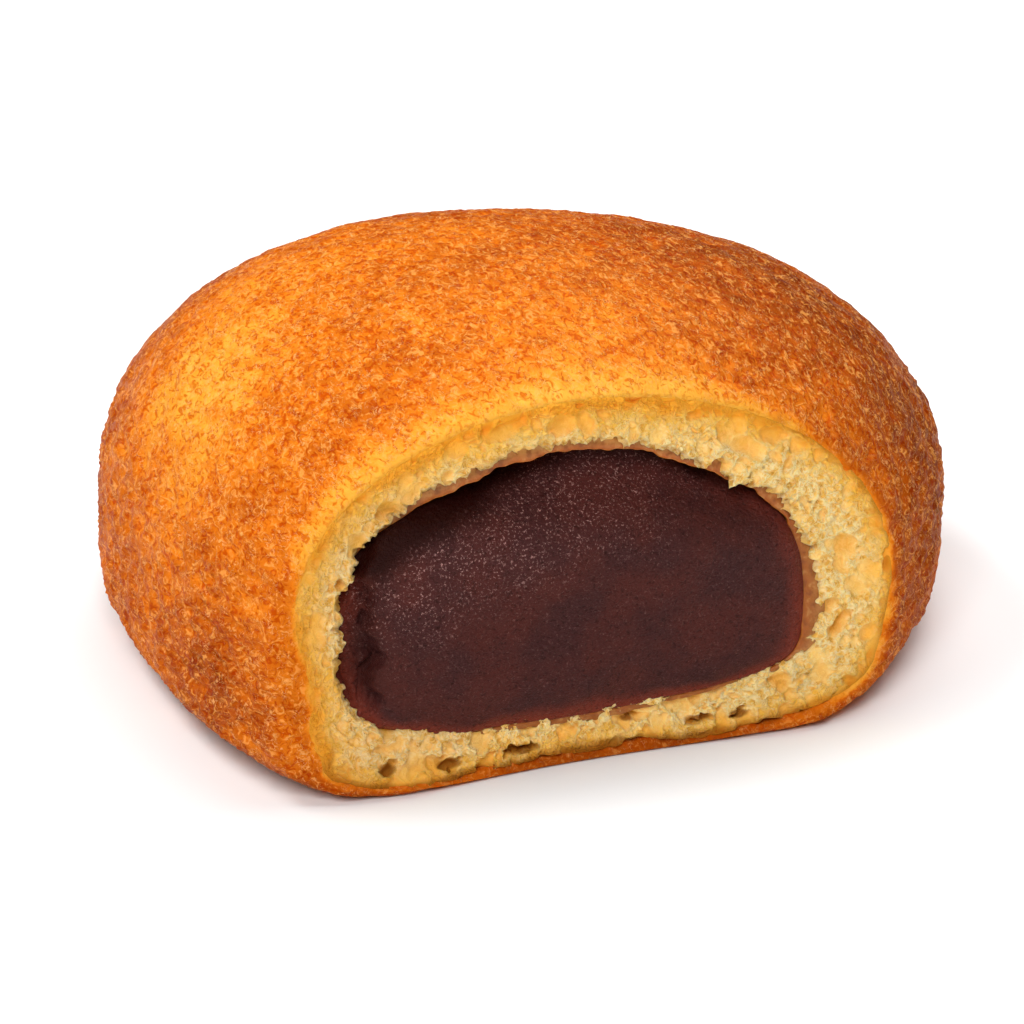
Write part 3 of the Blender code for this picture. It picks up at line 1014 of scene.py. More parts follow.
@dataclass
class Crust:
    """The dough's browned outside, rolled over the rim and hollowed behind the crumb.

    One closed skin of rings round the y axis: pocket, floor of the recess that holds the crumb, the
    rim's inner band, and the outside back to its pole. The base is undercut at the rim, so its front
    edge stands a little off the floor.
    """

    bun: Bun
    pocket: Pocket
    columns: int = 440
    base_share: float = 0.3
    pocket_rows: int = 6
    recess_rows: int = 3
    band_rows: int = 9
    outer_rows: int = 206
    crumb_depth: float = 4.2
    band: float = 1.1
    band_sink: float = 1.3
    band_lift_low: float = 0.8
    wrinkle_height: float = 0.34
    lump_height: float = 0.2
    undercut: float = 0.2
    undercut_height: float = 0.45
    middle_brown: float = 0.51
    fold_shade: float = 0.25
    blotches: tuple[Blotch, ...] = (
        Blotch((0, -22, 34), 11, -0.18),
        Blotch((-30, 2, 29), 9, -0.38),
        Blotch((-20, 14, 35), 10, -0.18),
        Blotch((-33, -10, 20), 9, -0.10),
        Blotch((-36, -18, 9), 9, 0.28),
        Blotch((-38, 4, 12), 12, 0.08),
        Blotch((18, 2, 37), 15, 0.20),
        Blotch((31, -8, 27), 16, 0.32),
        Blotch((34, -20, 14), 14, 0.22),
        Blotch((-22, -8, 33), 7, -0.10),
    )

    def angles(self) -> np.ndarray:
        """Spaces the columns evenly round the outline, but sparsely on the flat base.

        Returns:
            Their angles round the y axis.
        """
        fine = np.linspace(-math.pi, math.pi, 4097)
        ring = self.bun.outside(self.bun.swing(fine, np.full_like(fine, math.pi / 2)))
        step = np.linalg.norm(np.diff(ring, axis=0), axis=1)
        step *= np.where(ring[1:, 2] < 0.05, self.base_share, 1.0)
        length = np.concatenate([[0], np.cumsum(step)])
        even = np.arange(self.columns) / self.columns * length[-1]
        return np.interp(even, length, fine)

    def band_edge(self, rim: np.ndarray) -> np.ndarray:
        """Draws the inner edge of the rim's band: a ragged line a little inside the rim.

        Args:
            rim: Points of the rim, one for each column.

        Returns:
            The edge's points, on the plane of the tear.
        """
        middle = np.array([self.pocket.middle[0], 0.0, self.pocket.middle[1]])
        inward = middle - rim
        inward[:, 1] = 0
        inward /= np.linalg.norm(inward, axis=1, keepdims=True)
        ragged = 0.3 * Lumps(31).at(rim, 2.6) + 0.2 * Lumps(32).at(rim, 0.9)
        width = self.band + ragged + self.bun.lap(rim[:, 0], rim[:, 2])
        edge = rim + inward * width[:, None]
        edge[:, 1] = self.bun.tear_y(edge[:, 2])
        return edge

    def rings(self) -> tuple[np.ndarray, np.ndarray, np.ndarray]:
        """The skin without its wrinkles.

        Returns:
            The rings of points, how far each lies beyond the rim in millimetres, less than 0 inside
            it, and how far the crust laps over the torn face at each column.
        """
        bun, angle = self.bun, self.angles()
        turn = bun.rim(angle)
        rim = bun.outside(bun.swing(angle, turn))
        share = np.linspace(0, 1, self.outer_rows + 1)[1:-1, None]
        outer = bun.outside(bun.swing(angle, turn + share * (math.pi - turn)))

        edge = self.band_edge(rim)
        share_in = np.linspace(1, 0, self.band_rows + 1)[:, None, None]
        band = bun.rolled(rim + share_in * (edge - rim))
        low = smooth_step(rim[:, 2], 6.0, 1.0)
        lap = bun.lap(rim[:, 0], rim[:, 2])
        inside = share_in[..., 0] * (self.band + lap)
        sink = self.band_sink - self.band_lift_low * low
        band[..., 1] += sink * np.maximum(0, inside - lap) / self.band

        floor = band[0] + [0, self.crumb_depth, 0]
        around = np.arctan2(floor[:, 2] - self.pocket.middle[1], floor[:, 0] - self.pocket.middle[0])
        mouth = self.pocket.wall(around, np.full_like(around, self.crumb_depth))
        share = np.linspace(0, 1, self.recess_rows)[:, None, None]
        recess = mouth + share * (floor - mouth)
        depths = self.pocket.stations(self.pocket_rows)
        depths = depths[(depths < self.pocket.depth - 1) & (depths > self.crumb_depth + 1)]
        wall = self.pocket.wall(around, depths[:, None])

        rings = np.concatenate([wall, recess, band, outer])
        beyond = np.full(rings.shape[:2], -self.band) - lap
        beyond[len(wall) + len(recess) : -len(outer)] = -inside
        run = np.concatenate([band[-1:], outer])
        beyond[-len(outer) :] = np.cumsum(np.linalg.norm(np.diff(run, axis=0), axis=-1), axis=0)
        return rings, beyond, lap

    def browning(self, points: np.ndarray, beyond: np.ndarray) -> np.ndarray:
        """How brown the crust is, from 0, gold, to 1.

        A middle brown with broad and small blotches, browner at the back and under the belly, and
        faded to gold towards the rim but not on the base.

        Args:
            points: The crust's points.
            beyond: Their distance from the rim.

        Returns:
            One number for each point.
        """
        x, y, z = np.moveaxis(points, -1, 0)
        brown = self.middle_brown + 0.08 * Lumps(41).at(points, 9.0) + 0.09 * Lumps(42).at(points, 3.2)
        for blotch in self.blotches:
            brown += blotch.amount * spot(points, blotch.middle, blotch.radius)
        brown += 0.25 * smooth_step(y, 8, 30)
        brown += (0.30 - 0.22 * smooth_step(x, 6, 18)) * smooth_step(z, 5, 0)
        left = smooth_step(x, -12, -22) * smooth_step(z, 30, 19)
        right = smooth_step(x, 10, 22)
        run = 6.2 - 4.6 * smooth_step(x, 6, 22) - 5.2 * left
        ragged = beyond + 0.3 * left + 0.6 * right + (1.2 - 0.6 * left) * Lumps(43).at(points, 2.2)
        fade = smooth_step(ragged / run, -0.1, 1.0)
        base = smooth_step(z, 3.2, 1.4) * (0.6 + 0.4 * smooth_step(x, -24, 0))
        return np.clip(brown * (0.1 + 0.9 * np.maximum(fade, base)), 0, 1)

    def folds(self, points: np.ndarray, side: np.ndarray) -> np.ndarray:
        """The skin's fine folds: rounded above, drawn out into upright pleats down the sides.

        Args:
            points: The crust's points.
            side: How upright the skin is at each, from 0 to 1.

        Returns:
            The folds' height, about 0 to 1, at each point.
        """
        folds = Lumps(21).folds(points, 1.9) + 0.6 * Lumps(22).folds(points, 1.0)
        drawn = points * [0.6, 0.6, 1.25]
        pleats = Lumps(24).folds(drawn, 1.8) + 0.5 * Lumps(25).folds(drawn, 1.0)
        return folds + side * (pleats - folds)

    def build(self) -> bpy.types.Object:
        """Builds the crust, raised along its normals by its folds, outside the rim only.

        Returns:
            The crust, which stands for the dough's solid.
        """
        rings, beyond, lap = self.rings()
        normal = ring_normals(rings)
        outer = beyond > 0
        soft = smooth_step(beyond, 0, 1.3) * smooth_step(rings[..., 2], 0.02, 1.2)
        side = smooth_step(np.abs(normal[..., 2]), 0.8, 0.35)
        folds = self.folds(rings, side)
        rough = side * (1.3 + 0.9 * spot(rings, (-34, -16, 8), 16))
        height = self.wrinkle_height * (1 + rough) * (folds - 0.5)
        height = height + self.lump_height * Lumps(23).at(rings, 5.0)
        brown = self.browning(rings, beyond + lap) - self.fold_shade * (folds - 0.45) * soft
        rings = rings + normal * (height * soft * outer)[..., None]
        rings[..., 2] = np.maximum(0, rings[..., 2])
        under = smooth_step(beyond, 4.5, 0.5) * np.exp(-rings[..., 2] / self.undercut_height)
        rings[..., 2] += self.undercut * under
        smooth = beyond + lap + 0.7 * Lumps(44).at(rings, 1.8)
        base = 0.5 * smooth_step(rings[..., 2], 3.0, 1.4)
        pebbled = np.maximum(smooth_step(smooth, -1.2, 1.4), base)
        skin = Skin(rings, {"browning": brown, "pebbled": pebbled})
        piece = skin.build("crust", self.bun, FriedCrust().material())
        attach(piece, "root")
        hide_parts("dough")
        return piece


@dataclass(frozen=True)
class Pit:
    """An open cell in the torn crumb: its place in the torn face, half widths, tilt and depth."""

    x: float
    z: float
    long: float
    short: float
    tilt: float
    depth: float


@dataclass
class Crumb:
    """The torn crumb between the crust and the pocket: a soft relief of shallow open cells.

    A closed ring carried round the mouth. Its front is a grid of the angle and of the share of the
    way from the pocket's edge to the rim, sunk by scooped pits and roughened by froth. A reach is a
    distance from the mouth's centre along the column's ray.

    Behind and beyond give the hidden rings at the two edges: how far back each lies, how far out or
    in, and for those behind the pocket's edge, what share of its overhang they take back. The number
    of scattered pits falls with their size by the power that spread gives.
    """

    bun: Bun
    pocket: Pocket
    columns: int = 1080
    front_rows: int = 82
    scattered: int = 6500
    smallest: float = 0.15
    largest: float = 1.25
    spread: float = 2.1
    seed: int = 5
    brim: float = 0.16
    floor_height: float = 0.3
    shaded_pits_below: float = 4.0
    behind: tuple[tuple[float, float, float], ...] = (
        (3.6, 1.2, 1.0),
        (2.4, 1.3, 1.0),
        (1.4, 1.0, 1.0),
        (0.8, 0.6, 0.8),
        (0.4, 0.3, 0.5),
        (0.2, 0.1, 0.2),
    )
    beyond: tuple[tuple[float, float], ...] = ((0.6, 0.4), (1.8, 1.2), (3.4, 1.6))
    edge: Outline = Outline(
        centre=(-4.0, 13.0),
        points=(
            (19.6, 11.1), (19.3, 14.1), (18.6, 17.2), (17.3, 20.7), (13.6, 24.0), (9.8, 26.3),
            (4.5, 28.5), (-1.0, 29.9), (-7.8, 29.8), (-13.0, 28.8), (-17.9, 27.2), (-22.0, 24.7),
            (-24.4, 22.2), (-25.8, 19.4), (-26.2, 14.1), (-26.1, 9.7), (-24.6, 7.5), (-21.2, 6.3),
            (-16.8, 5.3), (-11.0, 5.1), (-6.5, 5.1), (-4.0, 5.1), (-1.5, 5.15), (3.0, 5.3),
            (8.0, 5.6), (14.5, 6.2), (17.6, 7.4), (19.2, 9.0),
        ),
    )
    named: tuple[Pit, ...] = (
        Pit(22.0, 16.8, 1.45, 1.25, 1.5, 0.9),
        Pit(12.6, 27.7, 2.3, 0.85, -0.5, 0.75),
        Pit(16.6, 25.6, 1.0, 0.55, 0.8, 0.6),
        Pit(24.4, 14.2, 1.5, 1.1, -0.9, 0.6),
        Pit(20.6, 11.4, 0.9, 0.6, 1.2, 0.8),
        Pit(24.6, 8.2, 1.1, 0.8, 0.6, 0.7),
        Pit(-26.1, 20.3, 0.5, 0.4, 1.2, 1.1),
        Pit(-28.3, 15.6, 0.8, 1.3, 0.2, 0.5),
        Pit(-18.9, 27.9, 1.4, 0.7, 0.5, 0.7),
        Pit(-9.3, 2.3, 1.7, 0.45, 0.05, 1.5),
        Pit(-16.2, 2.1, 1.1, 0.4, 0.1, 1.3),
        Pit(-22.1, 2.6, 0.8, 0.5, 0.1, 1.2),
        Pit(7.9, 2.5, 1.3, 0.35, 0.0, 1.2),
        Pit(11.8, 2.4, 0.9, 0.35, 0.0, 1.2),
        Pit(1.0, 3.4, 0.5, 0.35, 0.0, 0.9),
    )

    @cached_property
    def rays(self) -> Rays:
        """The rays that the columns lie along."""
        return Rays(self.pocket, self.columns)

    @cached_property
    def line(self) -> np.ndarray:
        """The pocket's smooth edge, about the mouth's centre."""
        return self.rays.line(self.edge.reach(self.rays.angle))

    @cached_property
    def low(self) -> np.ndarray:
        """1 on the columns at the foot of the tear, 0 on the others."""
        return smooth_step(-self.rays.up, 0.25, 0.5)

    @cached_property
    def right(self) -> np.ndarray:
        """1 on the columns at the right, 0 at the left."""
        return smooth_step(self.line[:, 0], 6.0, 16.0)

    @cached_property
    def inner(self) -> np.ndarray:
        """Reach of the crumb's ragged edge over the pocket.

        The smooth edge less an overhang, most at the two sides, and less spikes: two sizes of lumps
        and, in patches, wisps along the creases of a third.
        """
        right, up, line = self.rays.right, self.rays.up, self.line
        overhang = 0.35 * smooth_step(right, 0.3, 0.8)
        overhang = overhang + 0.3 * smooth_step(-right, 0.6, 0.9)
        overhang = overhang - 0.1 * smooth_step(-up, 0.3, 0.5) * smooth_step(line[:, 0], -22.0, -12.0)
        ragged = 0.10 + 0.40 * smooth_step(up, -0.7, 0.3)
        ragged = ragged + 0.25 * smooth_step(right, 0.5, 0.9)
        spikes = Lumps(91).at(line, 0.7) + 0.8 * Lumps(92).at(line, 1.7)
        patchy = np.clip(0.45 + 1.2 * Lumps(90).at(line, 2.6), 0, 1)
        wisps = (0.6 - 0.3 * smooth_step(-right, 0.3, 0.8)) * patchy
        spikes = spikes + wisps * np.maximum(-0.5, 1 - 4 * Lumps(93).folds(line, 0.8))
        return self.edge.reach(self.rays.angle) - overhang - ragged * spikes

    @cached_property
    def rim(self) -> np.ndarray:
        """Reach of the bun's rim, less the width where the crust laps over the torn face."""
        turn = np.linspace(-math.pi, math.pi, 2000, endpoint=False)
        ring = self.bun.outside(self.bun.swing(turn, self.bun.rim(turn)))
        dx, dz = ring[:, 0] - self.pocket.middle[0], ring[:, 2] - self.pocket.middle[1]
        around = np.arctan2(dz, dx)
        order = np.argsort(around)
        reach = np.interp(self.rays.angle, around[order], np.hypot(dx, dz)[order], period=math.tau)
        return reach - self.bun.lap(*self.rays.at(reach))

    @cached_property
    def outer(self) -> np.ndarray:
        """Reach of the crumb's outer edge: under the rim, but short of the base's crust below."""
        uneven = 0.5 + 0.5 * Lumps(99).at(self.line, 2.4) + 0.45 * Lumps(100).at(self.line, 0.9)
        thick = 0.7 + 1.0 * self.right + 0.8 * np.clip(uneven, 0, 1)
        return self.rim + (0.5 + 0.5 * uneven) * (1 - self.low) - thick * self.low

    @cached_property
    def reach(self) -> np.ndarray:
        """Reach of every point of the front's grid."""
        share = np.linspace(0, 1, self.front_rows)[:, None]
        return self.inner + share * (self.outer - self.inner)

    @cached_property
    def flat(self) -> np.ndarray:
        """The front's grid in the torn face, with x, 0 and z on the last axis."""
        x, z = self.rays.at(self.reach)
        return np.stack([x, 0 * x, z], -1)

    @cached_property
    def from_rim(self) -> np.ndarray:
        """How far inside a wavering edge of the crust each point of the front is."""
        crust = (1.0 + 1.0 * self.right) * self.low
        return self.rim - crust - self.reach + 0.35 * Lumps(98).at(self.flat, 2.0)

    @cached_property
    def froth(self) -> np.ndarray:
        """Height of the finest foam that is modelled: folds of two sizes."""
        return 0.22 * Lumps(94).folds(self.flat, 0.8) + 0.14 * Lumps(95).folds(self.flat, 0.38)

    @cached_property
    def pits(self) -> np.ndarray:
        """The cells: those with a place of their own, then many scattered ones, mostly small."""
        draw = np.random.default_rng(self.seed)
        share = draw.random(self.scattered)
        long = np.minimum(self.largest, self.smallest * (1 - share) ** (-1 / self.spread))
        scattered = np.stack(
            [
                draw.uniform(-31, 28, self.scattered),
                draw.uniform(0.5, 35, self.scattered),
                long * draw.uniform(1.0, 1.35, self.scattered),
                long * draw.uniform(0.6, 1.0, self.scattered),
                draw.uniform(0, math.pi, self.scattered),
                long * draw.uniform(0.4, 0.9, self.scattered),
            ],
            -1,
        )
        own = [(p.x, p.z, p.long, p.short, p.tilt, p.depth) for p in self.named]
        return np.concatenate([np.array(own), scattered])

    def scoop(self) -> tuple[np.ndarray, np.ndarray]:
        """Scoops the pits, each a rounded bowl: depth times the root of 1 less distance squared.

        Returns:
            The deepest pit at each point of the front, and the raised brim round the pits.
        """
        flat = self.flat
        warp = [0.30 * Lumps(81 + i).at(flat, 1.3) + 0.14 * Lumps(84 + i).at(flat, 0.5) for i in (0, 1)]
        torn = 1 + 1.2 * smooth_step(flat[..., 2], 5.5, 3.5)
        x, z = flat[..., 0] + torn * warp[0], flat[..., 2] + torn * warp[1]
        order = np.argsort(x, axis=None)
        lined, up = x.reshape(-1)[order], z.reshape(-1)[order]
        deep, brim = np.zeros(lined.shape), np.zeros(lined.shape)
        for at_x, at_z, long, short, tilt, depth in self.pits:
            reach = long + 0.3
            part = slice(*np.searchsorted(lined, (at_x - reach, at_x + reach)))
            dx, dz = lined[part] - at_x, up[part] - at_z
            along = (dx * math.cos(tilt) + dz * math.sin(tilt)) / long
            across = (dz * math.cos(tilt) - dx * math.sin(tilt)) / short
            out = np.hypot(along, across)
            bowl = depth * np.sqrt(np.maximum(0, 1 - out**2))
            deep[part] = np.maximum(deep[part], bowl)
            ring = np.exp(-(((out - 1.0) * short / self.brim) ** 2)) * min(1.0, short / 0.5)
            brim[part] = np.maximum(brim[part], ring)
        back = np.empty_like(order)
        back[order] = np.arange(len(order))
        return deep[back].reshape(x.shape), brim[back].reshape(x.shape)

    def front(self, deep: np.ndarray, brim: np.ndarray, floor: np.ndarray) -> np.ndarray:
        """Sinks the rolled plane of the tear along its normals, and shakes its edge over the pocket.

        Args:
            deep: Depth of the pits.
            brim: Height of the brims round them.
            floor: 1 on the pits' floors, 0 between the pits.

        Returns:
            The front's points.
        """
        from_edge, from_end = self.reach - self.inner, self.outer - self.reach
        broad = 0.32 * Lumps(96).at(self.flat, 3.6) + 0.24 * Lumps(97).at(self.flat, 1.5)
        relief = deep * 0.95 + broad - self.froth * (1 - 0.7 * floor) - 0.12 * brim + 0.18
        roll = 0.9 * smooth_step(from_edge, 0.9, 0.0) ** 2 * smooth_step(self.rays.up, -0.9, 0.0)
        tuck = 0.10 * smooth_step(from_end, 0.8, 0.3) + 0.30 * smooth_step(from_end, 0.25, 0.0)
        depth = relief * smooth_step(self.from_rim, -0.5, 0.6) + tuck + roll - 0.05
        x, z = self.rays.at(self.reach)
        front = self.bun.rolled(np.stack([x, self.bun.tear_y(z), z], -1))
        normal = ring_normals(front)
        front -= normal * np.sign(-normal[..., 1:2]) * depth[..., None]
        near_edge = smooth_step(from_edge, 1.2, 0.0)[..., None]
        shake = np.stack([Lumps(101 + i).at(front, 0.55) for i in range(3)], -1)
        return front + shake * 0.28 * near_edge

    def carried(self, ring: np.ndarray, back: np.ndarray, outward: np.ndarray) -> np.ndarray:
        """Carries copies of a ring behind the torn face and out along the rays.

        Args:
            ring: The ring's points.
            back: How far back each copy goes.
            outward: How far out each copy goes, a row for each.

        Returns:
            The rings.
        """
        rings = ring + [[[0, depth, 0]] for depth in back]
        rings[..., 0] += outward * self.rays.right
        rings[..., 2] += outward * self.rays.up
        return rings

    def burnt(self) -> np.ndarray:
        """How browned and shaded the front is: browned along its foot and next to the crust at the
        right, browned and in painted shade round the lowest pits, and in a little painted shade down the
        left.

        Returns:
            One number, from 0 to 1, for each point.
        """
        right, x, z = self.rays.right, self.flat[..., 0], self.flat[..., 2]
        burnt = (0.9 - 0.3 * self.right) * smooth_step(self.from_rim, 1.5, 0.1) * self.low
        side = smooth_step(right, 0.5, 0.9) * smooth_step(self.from_rim, 1.0, -0.4)
        burnt = np.maximum(burnt, 0.45 * side)
        # A little painted shade down the left side.
        burnt = np.maximum(burnt, 0.14 * smooth_step(-right, 0.5, 0.9))
        # Charred and in painted shade round the lowest pits.
        for pit in self.named:
            if pit.z < self.shaded_pits_below:
                out = ((x - pit.x) / pit.long) ** 2 + ((z - pit.z) / pit.short) ** 2
                burnt = np.maximum(burnt, 0.85 * smooth_step(out, 1.6, 0.5))
        return burnt

    def gold(self) -> np.ndarray:
        """How much nearer the rim the crumb looks: most along the top, and some at the lower left.

        Returns:
            The distance in millimetres, for each column.
        """
        left = smooth_step(-self.rays.right, 0.3, 0.8) * smooth_step(self.rays.up, 0.3, -0.3)
        return 0.5 * left + 0.9 * smooth_step(self.rays.up, 0.5, 0.9)

    def build(self) -> bpy.types.Object:
        """Builds the ring: behind the pocket's edge, over the front and down behind the rim.

        Returns:
            The crumb, which stands with the crust for the dough's solid.
        """
        deep, brim = self.scoop()
        floor = smooth_step(deep, 0.12, 0.35)
        front = self.front(deep, brim, floor)
        overhang = self.edge.reach(self.rays.angle) - self.inner
        sides = np.array(self.behind)
        behind = self.carried(front[0], sides[:, 0], sides[:, 1:2] + overhang * sides[:, 2:])
        sides = np.array(self.beyond)
        beyond = self.carried(front[-1], sides[:, 0], -sides[:, 1:])
        rings = np.concatenate([behind, front, beyond])
        rings[..., 2] = np.maximum(self.floor_height, rings[..., 2])
        values = {
            "burnt": self.burnt(),
            # Painted shade deepens with a pit's depth; the froth's tops, lighter, are painted highlight.
            "pit": np.clip(deep * 0.7 + 0.35 * (1 - self.froth * 3.5) * (1 - floor), 0, 1),
            "from_rim": self.from_rim - self.gold(),
            "from_paste": self.reach - self.inner,
            "frothy": 1 - 0.75 * floor,
        }
        hidden = ((len(behind), len(beyond)), (0, 0))
        values = {key: np.pad(value, hidden, mode="edge") for key, value in values.items()}
        skin = Skin(rings, values, looped=True)
        piece = skin.build("crumb", self.bun, TornCrumb().material())
        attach(piece, "root")
        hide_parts("dough")
        return piece


@dataclass
class PocketSkin:
    """The pocket's soaked inner skin: a thin lip carried round the mouth, wide above, thin below.

    Its closed profile runs from under the crumb to a thin wavy tip, and back along the pocket.
    """

    bun: Bun
    pocket: Pocket
    crumb: Crumb
    columns: int = 640
    depth: float = 7.0

    def profile(self, width: np.ndarray, tip: np.ndarray) -> tuple[np.ndarray, np.ndarray]:
        """Corner-cut profile: each side is cut at a quarter and three quarters, three times over.

        Args:
            width: Distance from the tip to the crumb's edge, round the mouth.
            tip: Depth of the tip behind the torn face, round the mouth.

        Returns:
            How far out, and how deep, each row of the profile lies.
        """
        zero = np.zeros_like(width)
        across = [width + 0.9, width * 0.75 + 0.2, width * 0.35 + 0.1, zero + 0.05, zero]
        across += [zero + 0.1, zero + 0.25, zero + 0.3, zero + 1.1, width + 1.0]
        depth = [tip + 0.1, tip - 0.1, tip - 0.15, tip - 0.05, tip + 0.15]
        depth += [tip + 0.6, zero + 3.5, zero + self.depth, zero + self.depth, zero + 3.6]
        corners = np.stack([np.stack(across), np.stack(depth)], -1)
        for _ in range(3):
            after = np.roll(corners, -1, 0)
            cut = np.stack([0.75 * corners + 0.25 * after, 0.25 * corners + 0.75 * after], 1)
            corners = cut.reshape(-1, *corners.shape[1:])
        return corners[..., 0], corners[..., 1]

    def build(self) -> bpy.types.Object:
        """Builds the lip as a closed profile carried round the mouth's outline.

        Returns:
            The lip, which stands with the crust for the dough's solid.
        """
        rays = Rays(self.pocket, self.columns)
        up, right = rays.up, rays.right
        mouth = self.pocket.mouth.reach(rays.angle)
        line = rays.line(mouth)
        left = smooth_step(-right, 0.6, 0.9) * smooth_step(up, 0.6, 0.3)
        wavy = 0.34 * Lumps(61).at(line, 2.4) + 0.16 * Lumps(62).at(line, 0.9) + 0.2 * left
        width = np.maximum(0.25, self.crumb.edge.reach(rays.angle) - mouth)
        above = smooth_step(up, -0.3, 0.5)
        below = smooth_step(-up, 0.3, 0.5)
        tip = 0.3 + 1.05 * above + 0.9 * left - 0.05 * below
        tip = tip + (0.08 + 0.22 * above) * Lumps(63).at(line, 4.0)
        across, depth = self.profile(width, tip)
        x, z = rays.at(mouth + across + wavy + 0.1 * below)
        rings = np.stack([x, self.bun.tear_y(z) + depth, z], -1)
        edge = np.clip(across / (width + 0.4), 0, 1)
        backed = np.maximum(0.6 * smooth_step(right, 0.6, 0.95), 0.9 * below)
        backed = np.broadcast_to(backed, edge.shape)
        skin = Skin(rings, {"edge": edge, "backed": backed}, looped=True)
        piece = skin.build("pocket_skin", self.bun, SoakedSkin().material())
        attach(piece, "root")
        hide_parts("dough")
        return piece


@dataclass
class Paste:
    """The lump of bean paste: a domed torn front and the hidden lump behind it."""

    bun: Bun
    pocket: Pocket
    columns: int = 520
    front_rows: int = 130
    row_spread: float = 0.85
    back_rows: int = 10
    back_from: float = 9.0
    back_gap: float = 0.35
    overlap: float = 0.12
    overlap_below: float = 0.35
    bulge: float = 1.2
    setback: float = 0.12
    setback_top: float = 4.6
    ledge: float = 1.7

    def front_depth(self, x: np.ndarray, z: np.ndarray, share: np.ndarray) -> np.ndarray:
        """How deep the paste's front lies behind the plane of the tear.

        A dome, rolled back under the roof at the top, with a ledge at the left where a crease
        parts it from the lumps below the roof's end.

        Args:
            x: Places across.
            z: Places up.
            share: Share of the way from the middle to the mouth's edge.

        Returns:
            The depths in millimetres.
        """
        flat = np.stack([x, 0 * x, z], -1)
        dome = -self.bulge * (1 - share**3)
        high = smooth_step(z + 0.18 * (x + 4), 20.0, 28.5)
        left_top = 1 + 0.9 * smooth_step(x, 0.0, -12.0)
        top = self.setback_top * left_top * high**1.5
        edge = self.setback + 0.35 * smooth_step(share, 0.95, 1.0) ** 2
        upright = flat * [0, 1, 1]
        line = -22.8 + 2.0 * Lumps(71).at(upright, 3.6) + 0.8 * Lumps(72).at(upright, 1.3)
        left = smooth_step(line - x, 0.0, 1.0)
        step = self.ledge * left * smooth_step(z, 5.5, 9.5)
        cut = np.clip(0.4 + 1.1 * Lumps(77).at(flat, 2.2), 0, 1)
        crease = 0.7 * cut * np.exp(-(((x - line + 0.7) / 0.45) ** 2)) * smooth_step(z, 8.0, 11.0)
        knobs = -1.4 * left * Lumps(75).folds(flat, 1.5) * (0.5 + 0.5 * smooth_step(z, 16, 9))
        lumps = 0.28 * Lumps(73).at(flat, 8.0) + 0.10 * Lumps(74).at(flat, 2.2)
        return dome + top + edge + step + crease + knobs + lumps

    def looks(
        self, rays: Rays, x: np.ndarray, z: np.ndarray, from_edge: np.ndarray
    ) -> dict[str, np.ndarray]:
        """What the finish reads on the front: painted red glow, painted sheen and painted shade.

        It has a painted red glow near its edge, but not under the roof; its painted sheen is at the top,
        and reaches further down at the left; and painted shade darkens it under the roof and at the far
        left.

        Args:
            rays: The rays that its columns lie along.
            x: Places across.
            z: Places up.
            from_edge: Distance from the mouth's edge.

        Returns:
            The three, by name, from 0 to 1 at each point.
        """
        flat = np.stack([x, 0 * x, z], -1)
        low = smooth_step(-rays.up, -0.2, 0.3) + 0.5 * smooth_step(rays.right, 0.7, 0.98)
        low = np.clip(low + smooth_step(-22.0 - x, 0.0, 1.5), 0, 1)
        run = 2.6 + 1.0 * Lumps(76).at(flat, 3.0)
        # Painted red glow near the edge, but not under the roof.
        redness = 0.95 * low * smooth_step(from_edge / run, 1.0, 0.1)
        # Painted sheen, at the top and further down at the left.
        sheen = 0.14 + 0.86 * smooth_step(z - 0.3 * x + 2.5 * Lumps(79).at(flat, 3.0), 17.0, 27.0)
        # Painted shade under the roof and at the far left.
        wide = 1.4 + 1.8 * smooth_step(x, 2.0, -14.0) + 0.5 * Lumps(78).at(flat, 2.4)
        roof = smooth_step(z, 18.0, 21.5) * smooth_step(x, 14.0, 8.0)
        hollow = roof * smooth_step(from_edge / wide, 1.4, 0.5)
        hollow = np.maximum(hollow, 0.45 * smooth_step(-21.5 - x, 0.0, 2.5) * smooth_step(z, 7.0, 12.0))
        return {"redness": redness, "sheen": sheen * (1 - hollow), "hollow": hollow}

    def build(self) -> bpy.types.Object:
        """Builds the paste: rings from the middle of its front to the pocket's end.

        Returns:
            The paste, which stands for its solid.
        """
        rays = Rays(self.pocket, self.columns)
        share = (np.arange(1, self.front_rows + 1) / self.front_rows)[:, None] ** self.row_spread
        mouth = self.pocket.mouth.reach(rays.angle)
        below = smooth_step(-rays.up, 0.3, 0.5)
        x, z = rays.at((mouth + self.overlap + self.overlap_below * below) * share)
        depth = self.front_depth(x, z, share)
        front = np.stack([x, self.bun.tear_y(z) + depth, z], -1)
        stations = self.pocket.stations(self.back_rows)[1:-1][::-1]
        stations = stations[stations > self.back_from][:, None]
        back = self.pocket.wall(rays.angle, np.maximum(stations, depth[-1] + 0.5), self.back_gap)
        values = self.looks(rays, x, z, mouth * (1 - share))
        hidden = {"redness": 0.0, "sheen": 0.0, "hollow": 1.0}
        for key, value in values.items():
            values[key] = np.concatenate([value, np.full(back.shape[:2], hidden[key])])
        skin = Skin(np.concatenate([front, back]), values)
        piece = skin.build("paste_lump", self.bun, BeanPaste().material())
        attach(piece, "root")
        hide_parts("bean_paste")
        return piece


# ---- studio ------------------------------------------------------------------------------------


@dataclass(frozen=True)
class Lamp:
    """A square white soft lamp: its place and size in metres, and its power in watts."""

    name: str
    place: tuple[float, float, float]
    size: float
    power: float

    def hang(self) -> None:
        """Hangs the lamp at its place, facing the bun."""
        data = bpy.data.lights.new(self.name, "AREA")
        data.size, data.energy = self.size, self.power
        light = bpy.data.objects.new(self.name, data)
        bpy.context.scene.collection.objects.link(light)
        light.location = self.place
        light.rotation_euler = (-Vector(self.place)).to_track_quat("-Z", "Y").to_euler()


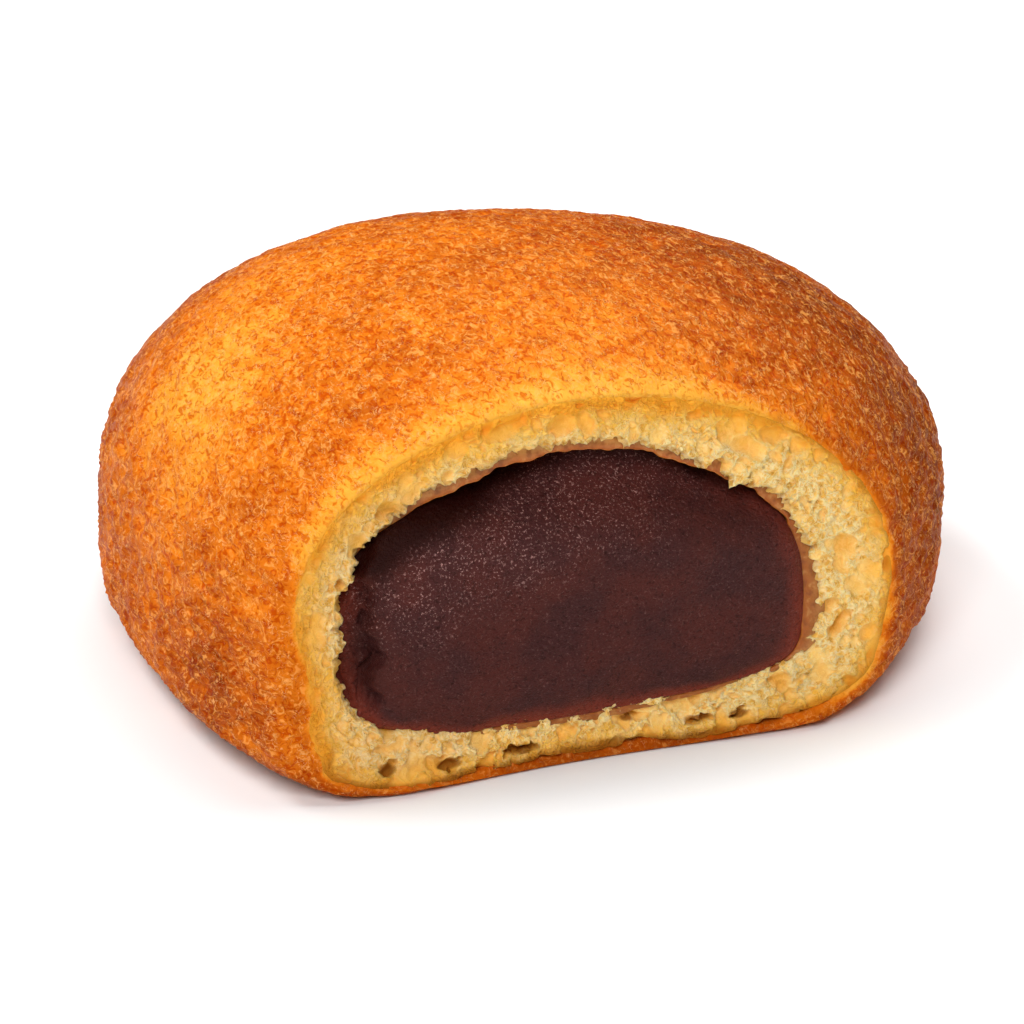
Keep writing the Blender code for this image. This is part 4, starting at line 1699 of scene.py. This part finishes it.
@dataclass
class Studio:
    """A white paper floor, a dim even room, four soft lamps and the camera."""

    bun: Bun
    azimuth: float = math.radians(-18.81)
    elevation: float = math.radians(22.61)
    roll: float = math.radians(-0.755)
    distance: float = 425.36
    target: tuple[float, float, float] = (-0.49, 0.0, 12.64)
    lens: float = 156.1
    sensor: float = 36.0
    seen_from: float = 0.01
    seen_to: float = 10.0
    floor_half: float = 3.0
    room_brightness: float = 0.04
    lamps: tuple[Lamp, ...] = (
        Lamp("overhead", (0.40, 0.30, 0.86), 1.0, 8.2),
        Lamp("window", (-0.45, 0.25, 0.85), 0.35, 3.8),
        Lamp("front", (-0.35, -0.76, 0.74), 0.5, 7.5),
        Lamp("card", (-0.85, 0.0, 0.52), 0.9, 2.0),
    )

    def camera(self) -> None:
        """Places the camera round its target by azimuth, elevation, roll and distance."""
        target = Vector(self.bun.to_frame(np.array(self.target)))
        back = Vector(
            (
                math.sin(self.azimuth) * math.cos(self.elevation),
                -math.cos(self.azimuth) * math.cos(self.elevation),
                math.sin(self.elevation),
            )
        )
        level = Vector((math.cos(self.azimuth), math.sin(self.azimuth), 0))
        upright = back.cross(level)
        right = level * math.cos(self.roll) + upright * math.sin(self.roll)
        top = upright * math.cos(self.roll) - level * math.sin(self.roll)
        data = bpy.data.cameras.new("camera")
        data.lens, data.sensor_width = self.lens, self.sensor
        data.clip_start, data.clip_end = self.seen_from, self.seen_to
        eye = bpy.data.objects.new("camera", data)
        bpy.context.scene.collection.objects.link(eye)
        turn = Matrix((right, top, back)).transposed().to_4x4()
        eye.matrix_world = Matrix.Translation(target + back * self.distance * MM) @ turn
        bpy.context.scene.camera = eye

    def floor(self) -> None:
        """Lays the paper floor: one square face."""
        half = self.floor_half
        points = np.array([(-half, -half, 0), (half, -half, 0), (half, half, 0), (-half, half, 0)])
        floor = build_mesh("floor", points, (np.array([[0, 1, 2, 3]]),), {}, WhitePaper().material())

    def room(self) -> None:
        """Fills the room with dim even light."""
        world = bpy.data.worlds.new("room")
        bpy.context.scene.world = world
        world.use_nodes = True
        inputs = world.node_tree.nodes["Background"].inputs
        inputs["Strength"].default_value = self.room_brightness
        inputs["Color"].default_value = linear("#ffffff")

    def build(self) -> None:
        """Sets up the camera, floor, lamps and room."""
        self.camera()
        self.floor()
        for lamp in self.lamps:
            lamp.hang()
        self.room()
        bpy.context.scene.view_settings.view_transform = "Standard"


def main() -> None:
    """Builds every piece in turn and reports it."""
    logging.basicConfig(level=logging.INFO, format="%(name)s %(message)s")
    bun = Bun()
    pocket = Pocket(bun)
    crumb = Crumb(bun, pocket)
    for maker in (Crust(bun, pocket), crumb, PocketSkin(bun, pocket, crumb), Paste(bun, pocket)):
        piece = maker.build()
        LOG.info("made %s", piece.name)
    Studio(bun).build()


if __name__ == "__main__":
    main()
